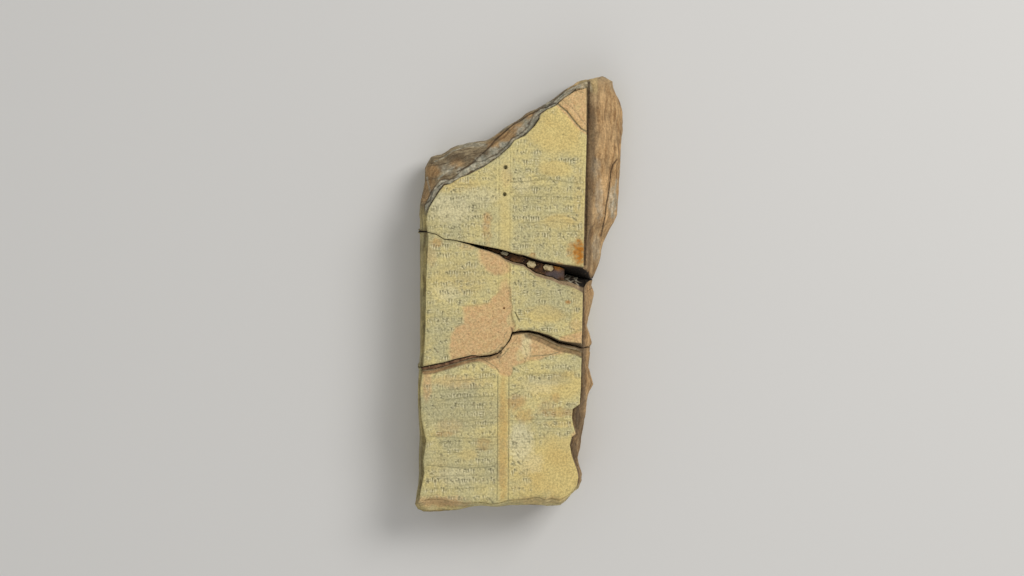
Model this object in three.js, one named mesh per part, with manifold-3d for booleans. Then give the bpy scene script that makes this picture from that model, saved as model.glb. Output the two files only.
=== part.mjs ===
// The left-hand part of a large clay writing tablet, broken in three and rejoined with a brown fill.
// Millimetres, +Z up. It lies on its reverse with the inscribed face up: +Y runs to its upper end and
// +X to its broken right side. The origin is the centre of the bounding box's underside.
import * as THREE from "three";
import { mergeVertices } from "three/addons/utils/BufferGeometryUtils.js";
import Module from "manifold-3d";

// Driving dimensions
const LENGTH = 220; // the whole fragment along Y
const THICKNESS = 36; // from the flat of the reverse to the inscribed face
const BREAK_WANDER = 0.9; // how far the broken sides wander in and out
const EDGE_WANDER = 0.3; // the same for the modelled left edge
const COLUMN_WIDTH = 36.5; // one column of writing
const RULE_SPACING = 5.6; // between the two lines that part the columns
const RULE_WIDTH = 0.9;
const RULE_DEPTH = 0.45;
const RULE_LEAN = 0.3; // degrees, the upper end to the right
const ROW_PITCH = 4.7; // one line of writing to the next
const ROW_SLOPE = 1.2; // degrees, rising to the right
const STROKE_LENGTH = 2.8;
const STROKE_WIDTH = 1.3;
const STROKE_DEPTH = 0.6;
const STROKE_ADVANCE = 3.3; // one stroke or pair to the next, along the row
const MARGIN = 0.9; // the writing keeps this far from breaks and losses
const JOINT_CLEARANCE = 0.3; // between neighbours where a break closes
const UPPER_GAP_DEPTH = 15; // how deep the upper break stays open
const LOWER_GAP_DEPTH = 4; // the same for the lower break
const BREAK_LEAN = 4; // degrees that the breaks across lean towards the upper end, further down
const UPPER_FILL_DEPTH = 4.2; // from the face down to the fill in the upper break
const LOWER_FILL_DEPTH = 1.1; // the same in the lower break
const FILL_THICKNESS = 6; // of the fill in the upper break
const LOWER_FILL_THICKNESS = 1.8;
const FILL_RUN_OUT = 3; // the length over which a fill's ends slope down
const CRUMB_HEIGHT = 2.4; // the clay crumbs half sunk in the upper fill
const FLAKE_DEPTH = 1; // of a place where the surface has come away
const PIN_HOLE_RADIUS = 0.8;
const PIN_HOLE_DEPTH = 2.6;
const OVERSHOOT = 1; // how far a cutter runs out of the clay

// The outlines are drawn on squared paper, with the whole fragment 440 squares long and x and y
// counted from its middle. Real sizes that don't follow the outline are the dimensions above.
const SQUARES_LONG = 440;
const SQUARE = LENGTH / SQUARES_LONG;

// Each side has the edge of the inscribed face (rim), the furthest reach of its wall, and the edge
// of the flat that it lies on (foot). belly is the share of the thickness at which it reaches
// furthest, and bow is 1 where it leaves the rim in a round curve and more where it first drops
// steeply. The sides run anticlockwise as seen from above, and the reverse swells from a break's
// lower edge to the foot.
const SIDES = [
  {
    name: "lower break",
    stations: 22,
    belly: 0.27,
    bow: 1,
    wander: BREAK_WANDER,
    rim: [[-99, -206], [-89, -203], [-77, -203], [-64, -206], [-49, -207], [-35, -206], [-27, -208], [-19, -207],
      [-9, -204], [6, -203], [21, -201], [28, -204], [34, -202], [42, -204], [49, -200], [55, -195], [59, -190]],
    reach: [[-106, -210], [-105, -216], [-100, -221], [-90, -222], [-75, -222], [-59, -221], [-49, -218], [-39, -216], [-28, -214],
      [-7, -216], [21, -217], [43, -215], [48, -211], [54, -203], [61, -196]],
    foot: [[-66, -180], [-40, -186], [-10, -184], [15, -184], [28, -176], [32, -164]],
  },
  {
    name: "right break",
    stations: 50,
    belly: 0.66,
    bow: 1.7,
    wander: BREAK_WANDER,
    rim: [[59, -190], [61, -179], [58, -170], [54, -160], [52, -149], [54, -141], [58, -138], [56, -131], [54, -122],
      [55, -113], [62, -108], [63, -92], [64, -52], [65, 3], [66, 53], [67, 93], [69, 162], [69, 209]],
    reach: [[61, -196], [64, -189], [64, -181], [60, -166], [63, -152], [66, -133], [69, -115], [72, -101], [76, -87],
      [71, -71], [75, -45], [70, -28], [74, -11], [78, 2], [75, 14], [81, 32], [88, 53], [91, 64], [100, 78],
      [104, 107], [105, 143], [107, 179], [104, 201], [98, 218]],
    foot: [[32, -164], [34, -120], [38, -80], [38, -30], [42, 20], [52, 50], [66, 85], [70, 120], [70, 160],
      [62, 186]],
  },
  {
    name: "upper break",
    stations: 40,
    belly: 0.62,
    bow: 1.15,
    wander: BREAK_WANDER,
    rim: [[69, 209], [56, 205], [47, 199], [38, 191], [29, 187], [22, 182], [21, 177], [17, 171], [7, 161], [-4, 156],
      [-8, 150], [-19, 140], [-34, 130], [-49, 122], [-58, 119], [-67, 113], [-74, 111], [-79, 105], [-89, 89],
      [-91, 83]],
    reach: [[98, 218], [94, 221], [86, 223], [81, 221], [75, 216], [71, 217], [62, 215], [52, 210], [32, 198],
      [11, 186], [-9, 174], [-19, 167], [-32, 157], [-49, 155], [-72, 149], [-77, 143], [-86, 138], [-90, 128],
      [-94, 112], [-98, 97]],
    foot: [[62, 186], [40, 172], [20, 158], [0, 145], [-20, 133], [-40, 122], [-58, 112]],
  },
  {
    name: "left edge",
    stations: 30,
    belly: 0.34,
    bow: 1,
    wander: EDGE_WANDER,
    rim: [[-91, 83], [-92, 75], [-90, 58], [-92, 18], [-93, -37], [-95, -69], [-98, -92], [-97, -122], [-92, -145],
      [-95, -165], [-94, -177], [-98, -197], [-99, -206]],
    reach: [[-98, 97], [-100, 90], [-101, 80], [-101, -7], [-100, -54], [-102, -74], [-102, -114],
      [-101, -142], [-102, -193], [-105, -204], [-106, -210]],
    foot: [[-58, 112], [-62, 60], [-62, -20], [-64, -120], [-66, -180]],
  },
];
const LEVELS = [1, 0.985, 0.93, 0.8, 0.64, 0.48, 0.34, 0.2, 0.08, 0]; // shares of the thickness, face last
const HEEL = 5; // how late the walls turn in to the foot

// The two breaks across the tablet, from left to right: x, then y of the edge above, of the line
// along which the break closes further down, and of the edge below.
const UPPER_JOINT = [
  [-125, 64, 64, 64], [-99, 64, 64, 64], [-91, 64, 64, 64], [-82, 62, 62, 62], [-74, 57, 57, 57], [-64, 56, 56, 56],
  [-49, 53, 53, 52], [-39, 51, 50, 48], [-29, 49, 47, 45], [-19, 47, 44, 41], [-11, 45, 40, 35], [-4, 43, 38, 32],
  [6, 41, 35, 30], [12, 39, 32, 25], [19, 37, 29, 20], [26, 35, 26, 18], [34, 34, 25, 16], [42, 32, 22, 12],
  [47, 31.5, 21, 11], [52, 31, 20, 10], [59, 30, 18, 7], [66, 29, 16, 3], [76, 20, 14, 9], [86, 12, 11, 11], [118, 8, 8, 8],
];
const LOWER_JOINT = [
  [-125, -72, -72, -72], [-102, -72, -72, -72], [-97, -71, -72, -73.5], [-94, -70, -72, -75], [-84, -68, -71, -74], [-74, -66, -69, -71],
  [-64, -63, -66, -68], [-54, -61, -63, -65], [-46, -59, -61, -63], [-38, -60, -61, -62], [-28, -59, -60, -61],
  [-20, -57, -57, -58], [-16, -54, -54, -54], [-12, -49, -49, -49], [-8, -43, -43, -44], [-6, -36, -37, -39],
  [1, -35, -36, -38], [11, -34, -36, -37], [21, -36, -38, -40], [31, -39, -42, -45], [41, -44, -47, -50],
  [51, -46, -49, -52], [59, -47, -51, -54], [65, -48, -53, -57], [76, -55, -55, -56], [118, -58, -58, -58],
];
const UPPER_FILL_SPAN = [-40, 48]; // squares in x that the fill of the upper break covers
const LOWER_FILL_SPAN = [-98, -34];

// Places where the surface is lost: x, y and the depth at each corner as a share of FLAKE_DEPTH
const LOSSES = [
  { name: "corner flake", corners: [[38, 191, 1], [49, 181, 1.3], [56, 172, 1.5], [63, 165, 1.6], [74, 159, 1.8],
    [80, 183, 2.4], [80, 222, 2.6], [57, 222, 2.1], [45, 201, 1.4]] },
  { name: "flake above the lower break", corners: [[-56, -10, 0.5], [-37, -9, 0.6], [-29, -6, 0.6], [-16, 8, 0.6],
    [-8, 9, 0.6], [-6, -19, 0.7], [-3, -30, 0.8], [-8, -45, 0.9], [-17, -54, 0.9], [-40, -60, 0.8], [-68, -68, 0.7],
    [-67, -40, 0.6], [-62, -31, 0.5], [-54, -27, 0.5]] },
  { name: "flake under the upper break", corners: [[-40, 50, 0.7], [-18, 45, 0.8], [-10, 36, 0.8], [-8, 25, 0.5],
    [-15, 22, 0.4], [-23, 21, 0.4], [-32, 26, 0.5], [-37, 33, 0.6]] },
  { name: "flake below the lower break", corners: [[-40, -64, 0.5], [-31, -68, 0.5], [-21, -74, 0.6], [-18, -79, 0.5],
    [-8, -79, 0.5], [-5, -70, 0.6], [9, -65, 0.5], [26, -62, 0.4], [39, -58, 0.4], [48, -57, 0.5], [68, -61, 1.2],
    [70, -48, 1.6], [41, -45, 1.2], [21, -36, 1.1], [0, -33, 1.2], [-12, -45, 1.2], [-24, -58, 0.9]] },
  { name: "flake at the right break", corners: [[41, -41, 0.4], [53, -38, 0.5], [70, -33, 0.7], [70, -49, 0.8],
    [53, -48, 0.7], [43, -45, 0.5]] },
];

// Places that were left bare of writing: centre x, y and half widths, in squares
const BARE_PLACES = [
  [40, 160, 32, 20], [26, -19, 16, 7], [-50, -158, 9, 6], [45, -92, 38, 11], [10, -111, 12, 8], [40, -175, 34, 34],
  [-32, -146, 6, 6], [60, 40, 8, 12],
];
const RULE_X = -14.4; // squares, the middle of the double line where it passes y = 0
const RULE_ENDS = [-204, 146];
const GOUGE = [[-3.5, -15], [0, -23]];
const PIN_HOLES = [[-12.5, 128], [-13.5, 101], [-14, -12]];
const CRUMBS = [[-13.5, 43, 10, 5], [13.5, 32, 11.5, 8.5], [30.5, 28.5, 13, 7.5]]; // x, y, length and width in squares

const wasm = await Module();
wasm.setup();

/** Points on the squared paper, in millimetres. */
const paper = (points) => points.map(([x, y]) => new THREE.Vector2(x * SQUARE, y * SQUARE));

/** A repeatable value from 0 to 1 for a pair of whole numbers. */
function hash(i, j) {
  const value = Math.sin(i * 127.1 + j * 311.7) * 43758.5453;
  return value - Math.floor(value);
}

/** Smooth noise from -1 to 1. */
function noise(u, v) {
  const [i, j] = [Math.floor(u), Math.floor(v)];
  const [a, b] = [THREE.MathUtils.smoothstep(u - i, 0, 1), THREE.MathUtils.smoothstep(v - j, 0, 1)];
  const low = THREE.MathUtils.lerp(hash(i, j), hash(i + 1, j), a);
  const high = THREE.MathUtils.lerp(hash(i, j + 1), hash(i + 1, j + 1), a);
  return 2 * THREE.MathUtils.lerp(low, high, b) - 1;
}

/** A repeatable source of numbers from 0 to 1. */
function dice(seed) {
  let count = 0;
  return () => hash(seed, (count += 1));
}

/** A closed three.js geometry as a solid that can be cut and joined. */
function solidOf(geometry) {
  const bare = geometry.index ? geometry.toNonIndexed() : geometry.clone();
  bare.deleteAttribute("normal");
  bare.deleteAttribute("uv");
  const merged = mergeVertices(bare);
  return new wasm.Manifold(new wasm.Mesh({
    numProp: 3,
    vertProperties: merged.attributes.position.array,
    triVerts: new Uint32Array(merged.index.array),
  }));
}

/** A solid as a three.js geometry. */
function geometryOf(solid) {
  const mesh = solid.getMesh();
  const positions = new Float32Array(mesh.numVert * 3);
  for (let i = 0; i < mesh.numVert; i += 1) {
    positions.set(mesh.vertProperties.subarray(i * mesh.numProp, i * mesh.numProp + 3), i * 3);
  }
  const geometry = new THREE.BufferGeometry()
    .setAttribute("position", new THREE.BufferAttribute(positions, 3))
    .setIndex(new THREE.BufferAttribute(mesh.triVerts, 1));
  geometry.computeVertexNormals();
  return geometry;
}

/** Triangles over a ring whose two halves run side by side like the rails of a ladder. */
function ladder({ length }) {
  const triangles = [];
  for (let i = 0; i + 1 < length - 1 - i; i += 1) {
    const [across, next] = [length - 1 - i, length - 2 - i];
    triangles.push([i, i + 1, across]);
    if (next !== i + 1) triangles.push([i + 1, next, across]);
  }
  return triangles;
}

/** Triangles over a ring of any shape, seen from above. */
function plan(ring) {
  const outline = ring.map((p) => new THREE.Vector2(p.x, p.y));
  const triangles = THREE.ShapeUtils.triangulateShape(outline, []);
  const area = triangles.reduce((sum, corners) => sum + THREE.ShapeUtils.area(corners.map((i) => outline[i])), 0);
  const turned = area * THREE.ShapeUtils.area(outline) < 0;
  return triangles.map(([a, b, c]) => (turned ? [a, c, b] : [a, b, c]));
}

/** A solid skinned over rings with the same number of points each, and closed at both ends. */
function loft(rings, close) {
  const count = rings[0].length;
  const triangles = [];
  for (let r = 0; r + 1 < rings.length; r += 1) {
    for (let i = 0; i < count; i += 1) {
      const [a, b] = [r * count + i, r * count + ((i + 1) % count)];
      triangles.push(a, b, b + count, a, b + count, a + count);
    }
  }
  const last = (rings.length - 1) * count;
  for (const [a, b, c] of close(rings[0])) triangles.push(a, c, b);
  for (const [a, b, c] of close(rings.at(-1))) triangles.push(last + a, last + b, last + c);
  const geometry = new THREE.BufferGeometry().setFromPoints(rings.flat()).setIndex(triangles);
  const solid = solidOf(geometry);
  return solid.volume() > 0 ? solid : solidOf(geometry.setIndex(triangles.reverse()));
}

/** Whether a point lies within a closed outline. */
function within(point, outline) {
  let inside = false;
  outline.forEach((a, i) => {
    const b = outline[(i + 1) % outline.length];
    const crosses = a.y > point.y !== b.y > point.y;
    if (crosses && point.x < a.x + ((b.x - a.x) * (point.y - a.y)) / (b.y - a.y)) inside = !inside;
  });
  return inside;
}

/** One side's wall as a row of points for each level, from the foot up to the rim. */
function wallOf(side, number) {
  const [rim, reach, foot] = [side.rim, side.reach, side.foot].map((outline) =>
    new THREE.Path(paper(outline)).getSpacedPoints(side.stations));
  return LEVELS.map((depth) => rim.slice(0, -1).map((_, i) => {
    const above = depth < side.belly;
    const share = above ? depth / side.belly : (depth - side.belly) / (1 - side.belly);
    const out = above ? Math.sin((share * Math.PI) / 2) ** side.bow : share ** HEEL;
    const place = above ? rim[i].clone().lerp(reach[i], out) : reach[i].clone().lerp(foot[i], out);
    const freedom = (0.2 + 3.2 * depth * (1 - depth)) * side.wander;
    const along = number * 100 + i * 0.45;
    place.x += freedom * noise(along, depth * 9);
    place.y += freedom * noise(along + 50, depth * 9);
    return new THREE.Vector3(place.x, place.y, THICKNESS * (1 - depth));
  }));
}

/** The tablet before it broke across, and the outline of its inscribed face. */
function wholeTablet() {
  const walls = SIDES.map(wallOf);
  const rings = LEVELS.map((_, level) => walls.flatMap((wall) => wall[level]));
  return { body: loft(rings, plan), face: rings.at(-1).map((p) => new THREE.Vector2(p.x, p.y)) };
}

/** The two sides of a break at one of its stations and depths, drawn in by an inset. */
function gapAt([x, above, closed, below], depth, gapDepth, inset) {
  const open = THREE.MathUtils.clamp(1 - depth / gapDepth, 0, 1);
  const [high, low] = [above, below].map((edge) => THREE.MathUtils.lerp(closed, edge, open) * SQUARE);
  const half = Math.max((high - low + JOINT_CLEARANCE) / 2 - inset, JOINT_CLEARANCE / 10);
  const middle = (high + low) / 2 + depth * Math.tan(THREE.MathUtils.degToRad(BREAK_LEAN));
  return [1, -1].map((side) => new THREE.Vector3(x * SQUARE, middle + side * half, THICKNESS - depth));
}

/** The empty space of a break: open at the face, and closed up to the clearance further down. */
function breakSpace(joint, gapDepth, inset = 0) {
  const depths = [-OVERSHOOT, 0, gapDepth, THICKNESS + OVERSHOOT];
  return loft(joint.map((station) => {
    const gaps = depths.map((depth) => gapAt(station, depth, gapDepth, inset));
    return [...gaps.map(([high]) => high), ...gaps.map(([, low]) => low).reverse()];
  }), ladder);
}

/** The fill lying in a break, clear of both sides, with an uneven top that slopes down at its ends. */
function fillOf(joint, gapDepth, [from, to], fillDepth, thickness) {
  const layer = loft(joint.filter(([x]) => x >= from && x <= to).map(([x, above, , below]) => {
    const end = 1 - Math.min(1, (Math.min(x - from, to - x) * SQUARE) / FILL_RUN_OUT);
    const top = THICKNESS - fillDepth * (1 + 0.12 * noise(x * 0.3, 7)) - 0.4 * thickness * end;
    return [[above, top], [below, top], [below, top - thickness], [above, top - thickness]].map(([y, z]) =>
      new THREE.Vector3(x * SQUARE, y * SQUARE + (y === above ? OVERSHOOT : -OVERSHOOT), z));
  }), ladder);
  return layer.intersect(breakSpace(joint, gapDepth, JOINT_CLEARANCE));
}

/** The cutter for a lost patch of surface, deeper at some corners than at others. */
function lossCutter({ corners }) {
  const outline = paper(corners);
  const floor = outline.map((p, i) => new THREE.Vector3(p.x, p.y, THICKNESS - corners[i][2] * FLAKE_DEPTH));
  const lip = outline.map((p) => new THREE.Vector3(p.x, p.y, THICKNESS + OVERSHOOT));
  return loft([floor, lip], plan);
}

/** A V-shaped groove between two points of the face. */
function grooveCutter(from, to, width, depth) {
  const side = to.clone().sub(from).normalize().rotateAround(new THREE.Vector2(), Math.PI / 2);
  const spread = (width / 2) * (1 + OVERSHOOT / depth);
  const ends = [from, to].map((p) => [
    new THREE.Vector3(p.x + side.x * spread, p.y + side.y * spread, THICKNESS + OVERSHOOT),
    new THREE.Vector3(p.x - side.x * spread, p.y - side.y * spread, THICKNESS + OVERSHOOT),
    new THREE.Vector3(p.x, p.y, THICKNESS - depth),
  ]);
  return loft(ends, ladder);
}

/** The double line between the columns. */
function ruleCutters() {
  const lean = Math.tan(THREE.MathUtils.degToRad(RULE_LEAN));
  return [-1, 1].map((side) => {
    const [low, high] = RULE_ENDS.map((y) =>
      new THREE.Vector2(RULE_X * SQUARE + (side * RULE_SPACING) / 2 + y * SQUARE * lean, y * SQUARE));
    return grooveCutter(low, high, RULE_WIDTH, RULE_DEPTH);
  });
}

/** A round pin hole in the face. */
function pinHoleCutter([x, y]) {
  const drill = new THREE.CylinderGeometry(PIN_HOLE_RADIUS, PIN_HOLE_RADIUS / 2, PIN_HOLE_DEPTH + OVERSHOOT, 8);
  drill.rotateX(Math.PI / 2);
  drill.translate(x * SQUARE, y * SQUARE, THICKNESS + (OVERSHOOT - PIN_HOLE_DEPTH) / 2);
  return solidOf(drill);
}

/** The three-sided dent that the corner of a reed leaves: wide at its head, running out to its tail. */
function strokeCutter({ head, angle, length, width, depth }) {
  const along = new THREE.Vector2(Math.cos(angle), Math.sin(angle));
  const across = new THREE.Vector2(-along.y, along.x);
  const apex = head.clone().addScaledVector(along, length / 4);
  const corners = [
    head.clone().addScaledVector(across, width / 2),
    head.clone().addScaledVector(across, -width / 2),
    head.clone().addScaledVector(along, length),
  ];
  const spread = 1 + OVERSHOOT / depth;
  const mouth = corners.map((c) => apex.clone().lerp(c, spread));
  const points = [...mouth.map((m) => new THREE.Vector3(m.x, m.y, THICKNESS + OVERSHOOT)),
    new THREE.Vector3(apex.x, apex.y, THICKNESS - depth)];
  const geometry = new THREE.BufferGeometry().setFromPoints(points).setIndex([0, 2, 1, 0, 1, 3, 1, 2, 3, 2, 0, 3]);
  const solid = solidOf(geometry);
  return solid.volume() > 0 ? solid : solidOf(geometry.setIndex([1, 2, 0, 3, 1, 0, 3, 2, 1, 3, 0, 2]));
}

/** Marks along one row that only look like writing. */
function strokesOfRow(left, right, y, random) {
  const strokes = [];
  const [down, across, slant] = [-Math.PI / 2, 0, -Math.PI / 4];
  const rise = Math.tan(THREE.MathUtils.degToRad(ROW_SLOPE));
  for (let x = left; x < right; x += STROKE_ADVANCE * (0.75 + 0.5 * random())) {
    const kind = random();
    const base = y + (x - left) * rise;
    const size = 0.8 + 0.4 * random();
    const mark = (dx, dy, angle, share) => strokes.push({
      head: new THREE.Vector2(x + dx, base + dy),
      angle,
      length: STROKE_LENGTH * size * share,
      width: STROKE_WIDTH * size,
      depth: STROKE_DEPTH * size,
    });
    if (kind < 0.45) mark(0, STROKE_LENGTH / 2, down, 1);
    else if (kind < 0.7) [0.25, -0.25].forEach((dy) => mark(-STROKE_LENGTH / 4, dy * ROW_PITCH, across, 0.8));
    else if (kind < 0.85) mark(-STROKE_LENGTH / 4, STROKE_LENGTH / 3, slant, 0.8);
    else mark(-STROKE_LENGTH / 4, 0, across, 1);
  }
  return strokes;
}

/** Every stroke of both columns that stands on sound clay. */
function inscription(face) {
  const lost = LOSSES.map(({ corners }) => paper(corners));
  const gaps = [UPPER_JOINT, LOWER_JOINT].map((joint) =>
    paper([...joint.map(([x, above]) => [x, above]), ...joint.map(([x, , , below]) => [x, below]).reverse()]));
  const bare = ([x, y, halfWidth, halfHeight], p) =>
    Math.hypot((p.x / SQUARE - x) / halfWidth, (p.y / SQUARE - y) / halfHeight) < 1;
  const around = [[0, 0], [MARGIN, 0], [-MARGIN, 0], [0, MARGIN], [0, -MARGIN]];
  const sound = (p) => around.every(([dx, dy]) => {
    const near = new THREE.Vector2(p.x + dx, p.y + dy);
    return within(near, face) && ![...lost, ...gaps].some((outline) => within(near, outline));
  });
  const highest = Math.max(...face.map((p) => p.y));
  const lowest = Math.min(...face.map((p) => p.y));
  const lean = Math.tan(THREE.MathUtils.degToRad(RULE_LEAN));
  const strokes = [];
  for (const side of [-1, 1]) {
    const random = dice(side + 5);
    for (let y = highest; y > lowest; y -= ROW_PITCH) {
      const middle = RULE_X * SQUARE + y * lean;
      const inner = RULE_SPACING / 2 + RULE_WIDTH + MARGIN;
      const outer = RULE_SPACING / 2 + COLUMN_WIDTH - MARGIN;
      const [left, right] = side < 0 ? [middle - outer, middle - inner - STROKE_LENGTH / 2] : [middle + inner, middle + outer];
      strokes.push(...strokesOfRow(left, right, y, random));
    }
  }
  return strokes.filter(({ head, angle, length }) => {
    const tail = new THREE.Vector2(head.x + length * Math.cos(angle), head.y + length * Math.sin(angle));
    return sound(head) && sound(tail) && !BARE_PLACES.some((place) => bare(place, head));
  });
}

/** A crumb of clay half sunk in the fill: a low block with its corners knocked off. */
function crumbOf([x, y, length, width]) {
  const crumb = new THREE.IcosahedronGeometry(0.5, 0);
  crumb.scale(length * SQUARE, width * SQUARE, CRUMB_HEIGHT);
  crumb.rotateZ(-0.2);
  crumb.translate(x * SQUARE, y * SQUARE, THICKNESS - UPPER_FILL_DEPTH);
  return solidOf(crumb);
}

/** A solid grown by a clearance on every side of its middle, to cut its own seat. */
function seatOf(solid) {
  const { min, max } = solid.boundingBox();
  const middle = min.map((low, i) => (low + max[i]) / 2);
  const growth = min.map((low, i) => 1 + (2 * JOINT_CLEARANCE) / (max[i] - low));
  return solid.translate(middle.map((m) => -m)).scale(growth).translate(middle);
}

const CLAY = new THREE.MeshStandardMaterial({ name: "clay", color: 0xc2b27e, roughness: 0.9, metalness: 0 });
const CREAM = new THREE.MeshStandardMaterial({ name: "cream clay", color: 0xc8b58b, roughness: 0.9, metalness: 0 });
const FILL = new THREE.MeshStandardMaterial({ name: "fill", color: 0x6b4a30, roughness: 0.7, metalness: 0 });

/** The whole object, with its origin in the middle of the bounding box's underside. */
function buildTablet() {
  const { body, face } = wholeTablet();
  const spaces = [breakSpace(UPPER_JOINT, UPPER_GAP_DEPTH), breakSpace(LOWER_JOINT, LOWER_GAP_DEPTH)];
  const cutters = [
    ...spaces,
    ...LOSSES.map(lossCutter),
    ...ruleCutters(),
    grooveCutter(...paper(GOUGE), RULE_WIDTH, RULE_DEPTH * 2),
    ...PIN_HOLES.map(pinHoleCutter),
    ...inscription(face).map(strokeCutter),
  ];
  const carved = body.subtract(wasm.Manifold.union(cutters));
  const fragments = carved.decompose().sort((a, b) => b.volume() - a.volume()).slice(0, 3)
    .sort((a, b) => b.boundingBox().max[1] - a.boundingBox().max[1]);
  const crumbs = CRUMBS.map(crumbOf);
  const seats = wasm.Manifold.union(crumbs.map(seatOf));
  const upperFill = fillOf(UPPER_JOINT, UPPER_GAP_DEPTH, UPPER_FILL_SPAN, UPPER_FILL_DEPTH, FILL_THICKNESS);
  const lowerFill = fillOf(LOWER_JOINT, LOWER_GAP_DEPTH, LOWER_FILL_SPAN, LOWER_FILL_DEPTH, LOWER_FILL_THICKNESS);
  const pieces = [
    ["upper_fragment", fragments[0].subtract(seats), CLAY],
    ["middle_fragment", fragments[1].subtract(seats), CLAY],
    ["lower_fragment", fragments[2], CLAY],
    ["upper_joint_fill", upperFill.subtract(seats), FILL],
    ["lower_joint_fill", lowerFill, FILL],
    ...crumbs.map((crumb, i) => [`clay_crumb_${i + 1}`, crumb, CREAM]),
  ];
  const tablet = new THREE.Group();
  for (const [name, solid, material] of pieces) {
    const mesh = new THREE.Mesh(geometryOf(solid), material);
    mesh.name = name;
    tablet.add(mesh);
  }
  const box = new THREE.Box3().setFromObject(tablet);
  const middle = box.getCenter(new THREE.Vector3());
  tablet.position.set(-middle.x, -middle.y, -box.min.z);
  return tablet;
}

export default buildTablet();
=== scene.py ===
"""A rejoined fragment of a clay writing tablet, lying on its reverse on a pale floor.

Each finished piece keeps the form of the solid it replaces and adds what time did to it: worn
writing, flaked patches, laminated breaks, grime and stains. Its colours also hold painted shade in
hollows, in cracks and on edges and walls, and painted highlights on ridges and along a rim.
Outlines on the face are in squares of half a millimetre, counted from the middle of the outline;
depths and widths are in millimetres.
"""

import itertools
import logging
import math
from dataclasses import dataclass
from enum import Enum

import bmesh
import bpy
import numpy as np
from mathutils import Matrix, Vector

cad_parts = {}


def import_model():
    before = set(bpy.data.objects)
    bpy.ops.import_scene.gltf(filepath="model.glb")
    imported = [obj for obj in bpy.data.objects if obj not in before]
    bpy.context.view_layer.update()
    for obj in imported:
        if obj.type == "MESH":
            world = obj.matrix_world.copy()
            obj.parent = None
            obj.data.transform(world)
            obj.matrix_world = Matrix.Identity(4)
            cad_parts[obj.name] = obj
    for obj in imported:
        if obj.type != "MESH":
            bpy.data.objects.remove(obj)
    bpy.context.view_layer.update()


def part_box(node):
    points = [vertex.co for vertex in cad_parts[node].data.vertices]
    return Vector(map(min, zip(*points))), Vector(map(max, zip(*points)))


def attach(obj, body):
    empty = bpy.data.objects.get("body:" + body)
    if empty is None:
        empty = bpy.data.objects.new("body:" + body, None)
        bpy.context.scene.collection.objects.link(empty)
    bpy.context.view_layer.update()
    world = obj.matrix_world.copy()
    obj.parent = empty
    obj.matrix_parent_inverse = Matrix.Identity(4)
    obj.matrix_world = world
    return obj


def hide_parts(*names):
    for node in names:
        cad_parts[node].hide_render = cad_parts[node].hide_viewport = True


Points = tuple[tuple[float, float], ...]
Grids = dict[str, np.ndarray]
Rgba = tuple[float, float, float, float]

SQUARE = 0.5
MILLIMETRE = 0.001
THICKNESS = 36.0
BREAK_LEAN = math.tan(math.radians(4.0))
PLAN_SHIFT = np.array([0.1204, 0.5383])
WELD = 1e-6
TINY = 1e-9
FLOOR_TONE = (214, 212, 208)
LOG = logging.getLogger("tablet")


class Side(Enum):
    """The four sides of the tablet, seen from above."""

    LOWER = "lower break"
    RIGHT = "right break"
    UPPER = "upper break"
    LEFT = "left edge"


# Outline of the face, side by side
RIM: dict[Side, Points] = {
    Side.LOWER: (
        (-99, -206), (-89, -203), (-77, -203), (-64, -206), (-49, -207), (-35, -206), (-27, -208),
        (-19, -207), (-9, -204), (6, -203), (21, -201), (28, -204), (34, -202), (42, -204),
        (49, -200), (55, -195), (59, -190),
    ),
    Side.RIGHT: (
        (59, -190), (61, -179), (58, -170), (54, -160), (52, -149), (54, -141), (58, -138),
        (56, -131), (54, -122), (55, -113), (62, -108), (63, -92), (64, -52), (65, 3), (66, 53),
        (67, 93), (69, 162), (69, 209),
    ),
    Side.UPPER: (
        (69, 209), (56, 205), (47, 199), (38, 191), (29, 187), (22, 182), (21, 177), (17, 171),
        (7, 161), (-4, 156), (-8, 150), (-19, 140), (-34, 130), (-49, 122), (-58, 119),
        (-67, 113), (-74, 111), (-79, 105), (-89, 89), (-91, 83),
    ),
    Side.LEFT: (
        (-91, 83), (-92, 75), (-90, 58), (-92, 18), (-93, -37), (-95, -69), (-98, -92),
        (-97, -122), (-92, -145), (-95, -165), (-94, -177), (-98, -197), (-99, -206),
    ),
}


@dataclass(frozen=True)
class Crack:
    """A break across the tablet.

    Each station gives x, then y of the upper edge, of the closed line and of the lower edge.
    """

    stations: tuple[tuple[float, float, float, float], ...]

    def line(self, column: int) -> np.ndarray:
        """Returns one of its three lines in millimetres."""
        return np.array([(station[0], station[column]) for station in self.stations]) * SQUARE

    def opening(self) -> np.ndarray:
        """Returns the outline of its open mouth in millimetres."""
        return np.vstack([self.line(1), self.line(3)[::-1]])


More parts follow.
